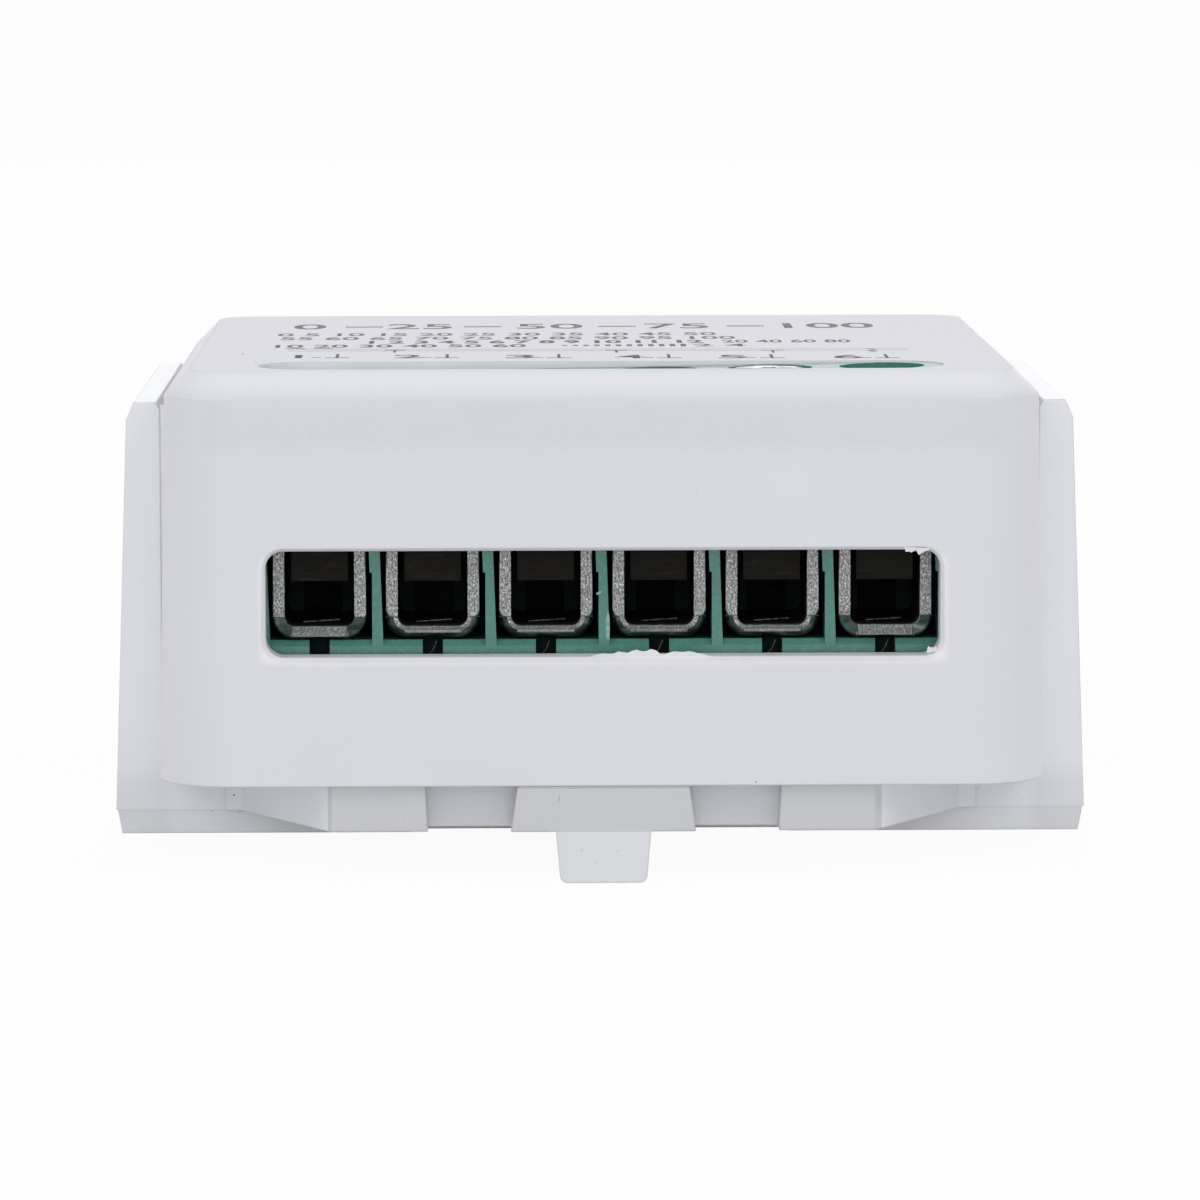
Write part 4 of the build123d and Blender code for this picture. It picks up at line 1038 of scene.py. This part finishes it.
# %% Print the marks of the terminals
MARKS = ((-11.85, -9.41), (-6.87, -9.61), (-1.81, -9.82), (3.16, -10.03), (7.81, -10.22),
         (12.99, -10.43))
for number, (x, y) in zip(poles, MARKS):
    bar(x - 0.55, y - 0.45, x + 0.55, y - 0.45, 0.26)
    bar(x, y - 0.45, x, y + 1.8, 0.14)
    figure(str(number), x - 1.75, y + 0.45, 2.0, 0.03, 1.3 if number > 1 else None)
    bar(x - 1.15, y - 0.2, x - 0.72, y - 0.2, 0.22)
for y in (-4.6, -5.6):
    bar(-14.2, y, 14.3, y - 0.55, 0.09)
for x, y in ((-9.3, -5.2), (0.85, -5.6), (8.0, -5.9)):
    bar(x - 0.5, y, x + 0.5, y, 0.24)
    bar(x, y, x, y - 1.5, 0.12)
for step in range(4):
    bar(12.4 + 0.35 * (step % 2), -5.2 - 0.5 * step, 12.75 - 0.35 * (step % 2),
        -5.7 - 0.5 * step, 0.12)
for x in (-13.9, -12.6):
    bar(x - 0.45, -4.0, x + 0.45, -4.0, 0.3)
print("print of the terminals:", len(print_build.faces), "faces")

# %% Add the dimming scale and make the print a piece
figure("0   25   50   75   100", -0.4, 10.6, 3.4, 0.05, 28.0)
for x in (-11.0, -5.3, 1.2, 7.4):
    bar(x - 0.9, 10.3, x + 0.9, 10.3, 0.6)
ROWS = (
    ("0 5 10 15 20 25 30 35 40 45 50", -4.6, 5.1, 1.8, 0.03, 20.8),
    ("55 60 65 70 75 80 85 90 95 100", -4.1, 2.5, 1.8, 0.03, 21.4),
    ("1 2 3 4 5 6 7 8 9 10 11 12", -2.9, 0.0, 1.8, 0.07, 15.6),
    ("20 40 60 80", 8.9, 0.0, 1.8, 0.03, 6.0),
    ("10 20 30 40 50 60", -9.2, -2.5, 1.8, 0.04, 11.6),
    ("2 4", 5.7, -2.5, 1.6, 0.03, 2.4))
for row in ROWS:
    figure(*row)
for step in range(12):
    bar(-1.6 + 0.5 * step, -2.5, -1.35 + 0.5 * step, -2.5, 0.5 + 0.1 * step)
label_print = make_piece(print_build, "label_print", "module", (label_ink,))
print("label print faces:", len(label_print.data.polygons))

# %% [markdown]
# ## Flash at the window
# The mould of the housing is a little worn, so ragged white film stands along
# part of the lower window edge and in two corners. Each film is a strip of grid
# whose free edge is pushed about by noise, and then given a thickness.

# %% Add the moulding film
FILM = 0.05


def film(start, stop, rise, ragged, seed, cuts):
    """A ragged strip from start to stop, with its free edge moved by rise."""
    build = bmesh.new()
    bmesh.ops.create_grid(build, x_segments=cuts, y_segments=2, size=0.5)
    for v in build.verts:
        share, height = v.co.x + 0.5, v.co.y + 0.5
        swing = noise.noise(Vector((share * ragged, seed, 0))) * 0.9 + 0.62
        fade = min(1.0, 6 * share, 6 * (1 - share))
        tilt = noise.noise(Vector((share * 5, seed + 7, 0))) * 0.05 * height
        v.co = start.lerp(stop, share) + Vector(rise) * (height * max(0.3, swing) * fade)
        v.co.y += tilt
    bmesh.ops.solidify(build, geom=list(build.faces), thickness=FILM)
    bmesh.ops.recalc_face_normals(build, faces=build.faces)
    return build


flash_white, tree, shader = start_finish("flash_white", (0.84, 0.85, 0.88), 0.35, IOR=1.49)
feed(shader, Base_Color=shades(cloud(tree, 1.5, detail=3), (
    (0.3, (0.74, 0.76, 0.79)), (0.7, (0.86, 0.87, 0.89)))))
raise_surface(shader, cloud(tree, 5.0, detail=3), 0.02)
lower_left, lower_right, corner_low, corner_high, right_edge = (
    seen_at(x, y, "housing")[0] for x, y in (
        (590, 656.5), (712, 656.5), (904, 547), (930, 548), (938, 650)))
films = bmesh.new()
for row in ((lower_left, lower_right, (0, 0, 0.34), 9.0, 3.0, 26),
            (corner_low, corner_high, (-0.15, 0, -0.26), 5.0, 11.0, 14),
            (right_edge - Vector((0.5, 0, 0.08)), right_edge, (0, 0, 0.32), 4.0, 5.0, 8)):
    merged(films, film(*row))
window_flash = make_piece(films, "window_flash", "module", (flash_white,))
print("flash runs from x", round(lower_left.x, 2), "to", round(lower_right.x, 2))

# %% [markdown]
# ## Specks and nicks
# A few dark specks sit in the white plastic, as recycled or burnt grains do, and
# a few pale nicks mark the lower edge. Each is a small flattened grain, half sunk
# into the surface that the pixel shows.

# %% Add specks and nicks
SPECK_THICK = 0.012


def grain_at(x_pixel, y_pixel, node, length, width, tilt=0.0, seed=0.0):
    """A flat grain on a CAD surface, stretched and turned in its plane."""
    spot, normal = seen_at(x_pixel, y_pixel, node)
    build = bmesh.new()
    bmesh.ops.create_icosphere(build, subdivisions=2, radius=0.5)
    for v in build.verts:
        v.co *= 1 + 0.35 * noise.noise(v.co * 3 + Vector((seed, 0, 0)))
    turn = normal.to_track_quat("Z", "Y").to_matrix() @ Matrix.Rotation(tilt, 3, "Z")
    return put(build, spot, (length, width, SPECK_THICK), turn)


speck_dark, speck_faint, burr_green = (
    one_noise(name, colour, roughness, ((0.3, low), (0.7, high)), grain)
    for name, colour, roughness, grain, low, high in (
        ("speck_dark", (0.1, 0.1, 0.1), 0.6, 20.0, (0.06, 0.06, 0.055), (0.30, 0.29, 0.27)),
        ("speck_faint", (0.4, 0.4, 0.4), 0.6, 20.0, (0.33, 0.33, 0.34), (0.55, 0.55, 0.56)),
        ("burr_green", (0.25, 0.45, 0.40), 0.35, 3.0, (0.16, 0.34, 0.30),
         (0.36, 0.54, 0.50))))
SPECKS = {
    "dark_specks": ("module", speck_dark, (
        (243, 354, "housing", 0.14, 0.45), (256, 363, "housing", 0.10, 0.30),
        (234, 795, "rail_bracket", 0.10, 0.08), (756, 782, "housing", 0.07, 0.06))),
    "faint_specks": ("module", speck_faint, (
        (212, 811, "rail_bracket", 0.09, 0.05), (230, 811, "rail_bracket", 0.08, 0.04),
        (240, 811.5, "rail_bracket", 0.12, 0.05), (404, 822, "rail_bracket", 0.06, 0.05),
        (262, 432, "housing", 0.05, 0.05), (874, 512, "housing", 0.05, 0.04),
        (310, 436, "housing", 0.05, 0.04), (697, 493, "housing", 0.04, 0.05))),
    "latch_specks": ("latch", speck_faint, (
        (582, 850, "rail_latch", 0.07, 0.05), (618, 851, "rail_latch", 0.06, 0.05),
        (597, 863, "rail_latch", 0.06, 0.05), (559, 799, "rail_latch", 0.05, 0.35))),
    "pale_nicks": ("module", flash_white, (
        (722, 780, "housing", 0.50, 0.05), (716, 782, "housing", 0.30, 0.05),
        (814, 777, "housing", 0.25, 0.05))),
    "divider_burr": ("module", burr_green, (
        (608, 627, "terminal_block", 0.20, 1.2), (599, 593, "terminal_block", 0.30, 0.12))),
}
for name, (body, finish, rows) in SPECKS.items():
    build = bmesh.new()
    for index, (x, y, node, length, width) in enumerate(rows):
        merged(build, grain_at(x, y, node, length, width, 0.5 * math.sin(index * 2.0),
                               index * 3.1))
    make_piece(build, name, body, (finish,))
print("groups of specks:", len(SPECKS))

# %% [markdown]
# ## The top edge of the latch
# The latch is made a little low so that it slides under the housing, and a thin
# bead on its front edge closes the slit towards the rim.

# %% Add the bead on the latch
latch_low, latch_high = box_mm("rail_latch")
rim_low = box_mm("housing")[0].z
BEAD_INSET = 0.42
BEAD_BACK = 0.24
BEAD_DEPTH = 0.4
BEAD_SINK = 0.02
bead = inlay(((latch_low.x + latch_high.x) / 2, latch_low.y + BEAD_BACK,
              (latch_high.z + rim_low) / 2 - BEAD_SINK),
             (latch_high.x - latch_low.x - 2 * BEAD_INSET, BEAD_DEPTH,
              rim_low - latch_high.z + BEAD_SINK))
make_piece(bead, "latch_bead", "latch", (bracket_white,))
print("top of the latch", round(latch_high.z, 2), "rim", round(rim_low, 2))

# %% [markdown]
# ## Ribs between the wings and the housing
# The sides of the housing lean inwards a little, as moulded walls do, so a thin
# gap opens towards the top of each wing. A slim rib inside the front edge of the
# wing closes it and holds the housing without play. Where the wing ends on top is
# found by a ray from above.

# %% Add the ribs of the wings
WING_INSIDE = 19.76
RIB_INSIDE = 19.44
RIB_DEPTH = 0.3
RIB_BACK = 0.08
RIB_ABOVE_RIM = 0.6
WING_FRONT = -12.1
ribs = bmesh.new()
for side in (-1, 1):
    y_mid = WING_FRONT + RIB_BACK + RIB_DEPTH / 2
    top, _, _, _ = skin["rail_bracket"].ray_cast(
        Vector((side * (WING_INSIDE + 0.1), y_mid, 30)) * MM, Vector((0, 0, -1)))
    rib_low, rib_high = rim_low + RIB_ABOVE_RIM, top.z / MM - 0.02
    merged(ribs, inlay((side * (WING_INSIDE + RIB_INSIDE) / 2, y_mid, (rib_low + rib_high) / 2),
                       (WING_INSIDE - RIB_INSIDE, RIB_DEPTH, rib_high - rib_low)))
    print("rib from", round(rib_low, 2), "to", round(rib_high, 2))
make_piece(ribs, "wing_ribs", "module", (bracket_white,))

# %% [markdown]
# ## The latch spring
# A small open coil of drawn wire pushes the latch home. It shortens as the latch
# is pulled, which a CAD solid can't do, so a coil wound here takes its place; it
# has an even pitch and stays fixed on the module. The wire is a ring of points,
# spun round the axis of the coil and moved a little along it at each step, and
# its two ends are closed.

# %% Wind the latch spring
WIRE_RADIUS = 0.15
COIL_PITCH = 0.8
STEPS_PER_TURN = 28
spring_low, spring_high = box_mm("latch_spring")
coil_mid = (spring_low + spring_high) / 2
coil_radius = (spring_high.x - spring_low.x) / 2 - WIRE_RADIUS
coil_length = spring_high.y - spring_low.y - 2 * WIRE_RADIUS
turns = round(coil_length / COIL_PITCH)
steps = turns * STEPS_PER_TURN
build = bmesh.new()
bmesh.ops.create_circle(build, segments=12, radius=WIRE_RADIUS)
put(build, (coil_mid.x, spring_low.y + WIRE_RADIUS, coil_mid.z + coil_radius),
    turn=Matrix.Rotation(math.pi / 2, 4, "Y"))
bmesh.ops.spin(build, geom=list(build.verts) + list(build.edges), cent=coil_mid,
               axis=(0, 1, 0), dvec=(0, coil_length / steps, 0),
               angle=2 * math.pi * turns, steps=steps, use_duplicate=False)
bmesh.ops.holes_fill(build, edges=chosen(build.edges, lambda e: e.is_boundary), sides=0)
bmesh.ops.recalc_face_normals(build, faces=build.faces)
for face in build.faces:
    face.smooth = len(face.verts) == 4
print("coil turns:", turns, "open edges:", sum(not e.is_manifold for e in build.edges),
      "length", round(max(v.co.y for v in build.verts) - min(v.co.y for v in build.verts), 2))
coil = make_piece(build, "latch_coil", "module", (spring_wire,))
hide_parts("latch_spring")
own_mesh(coil)
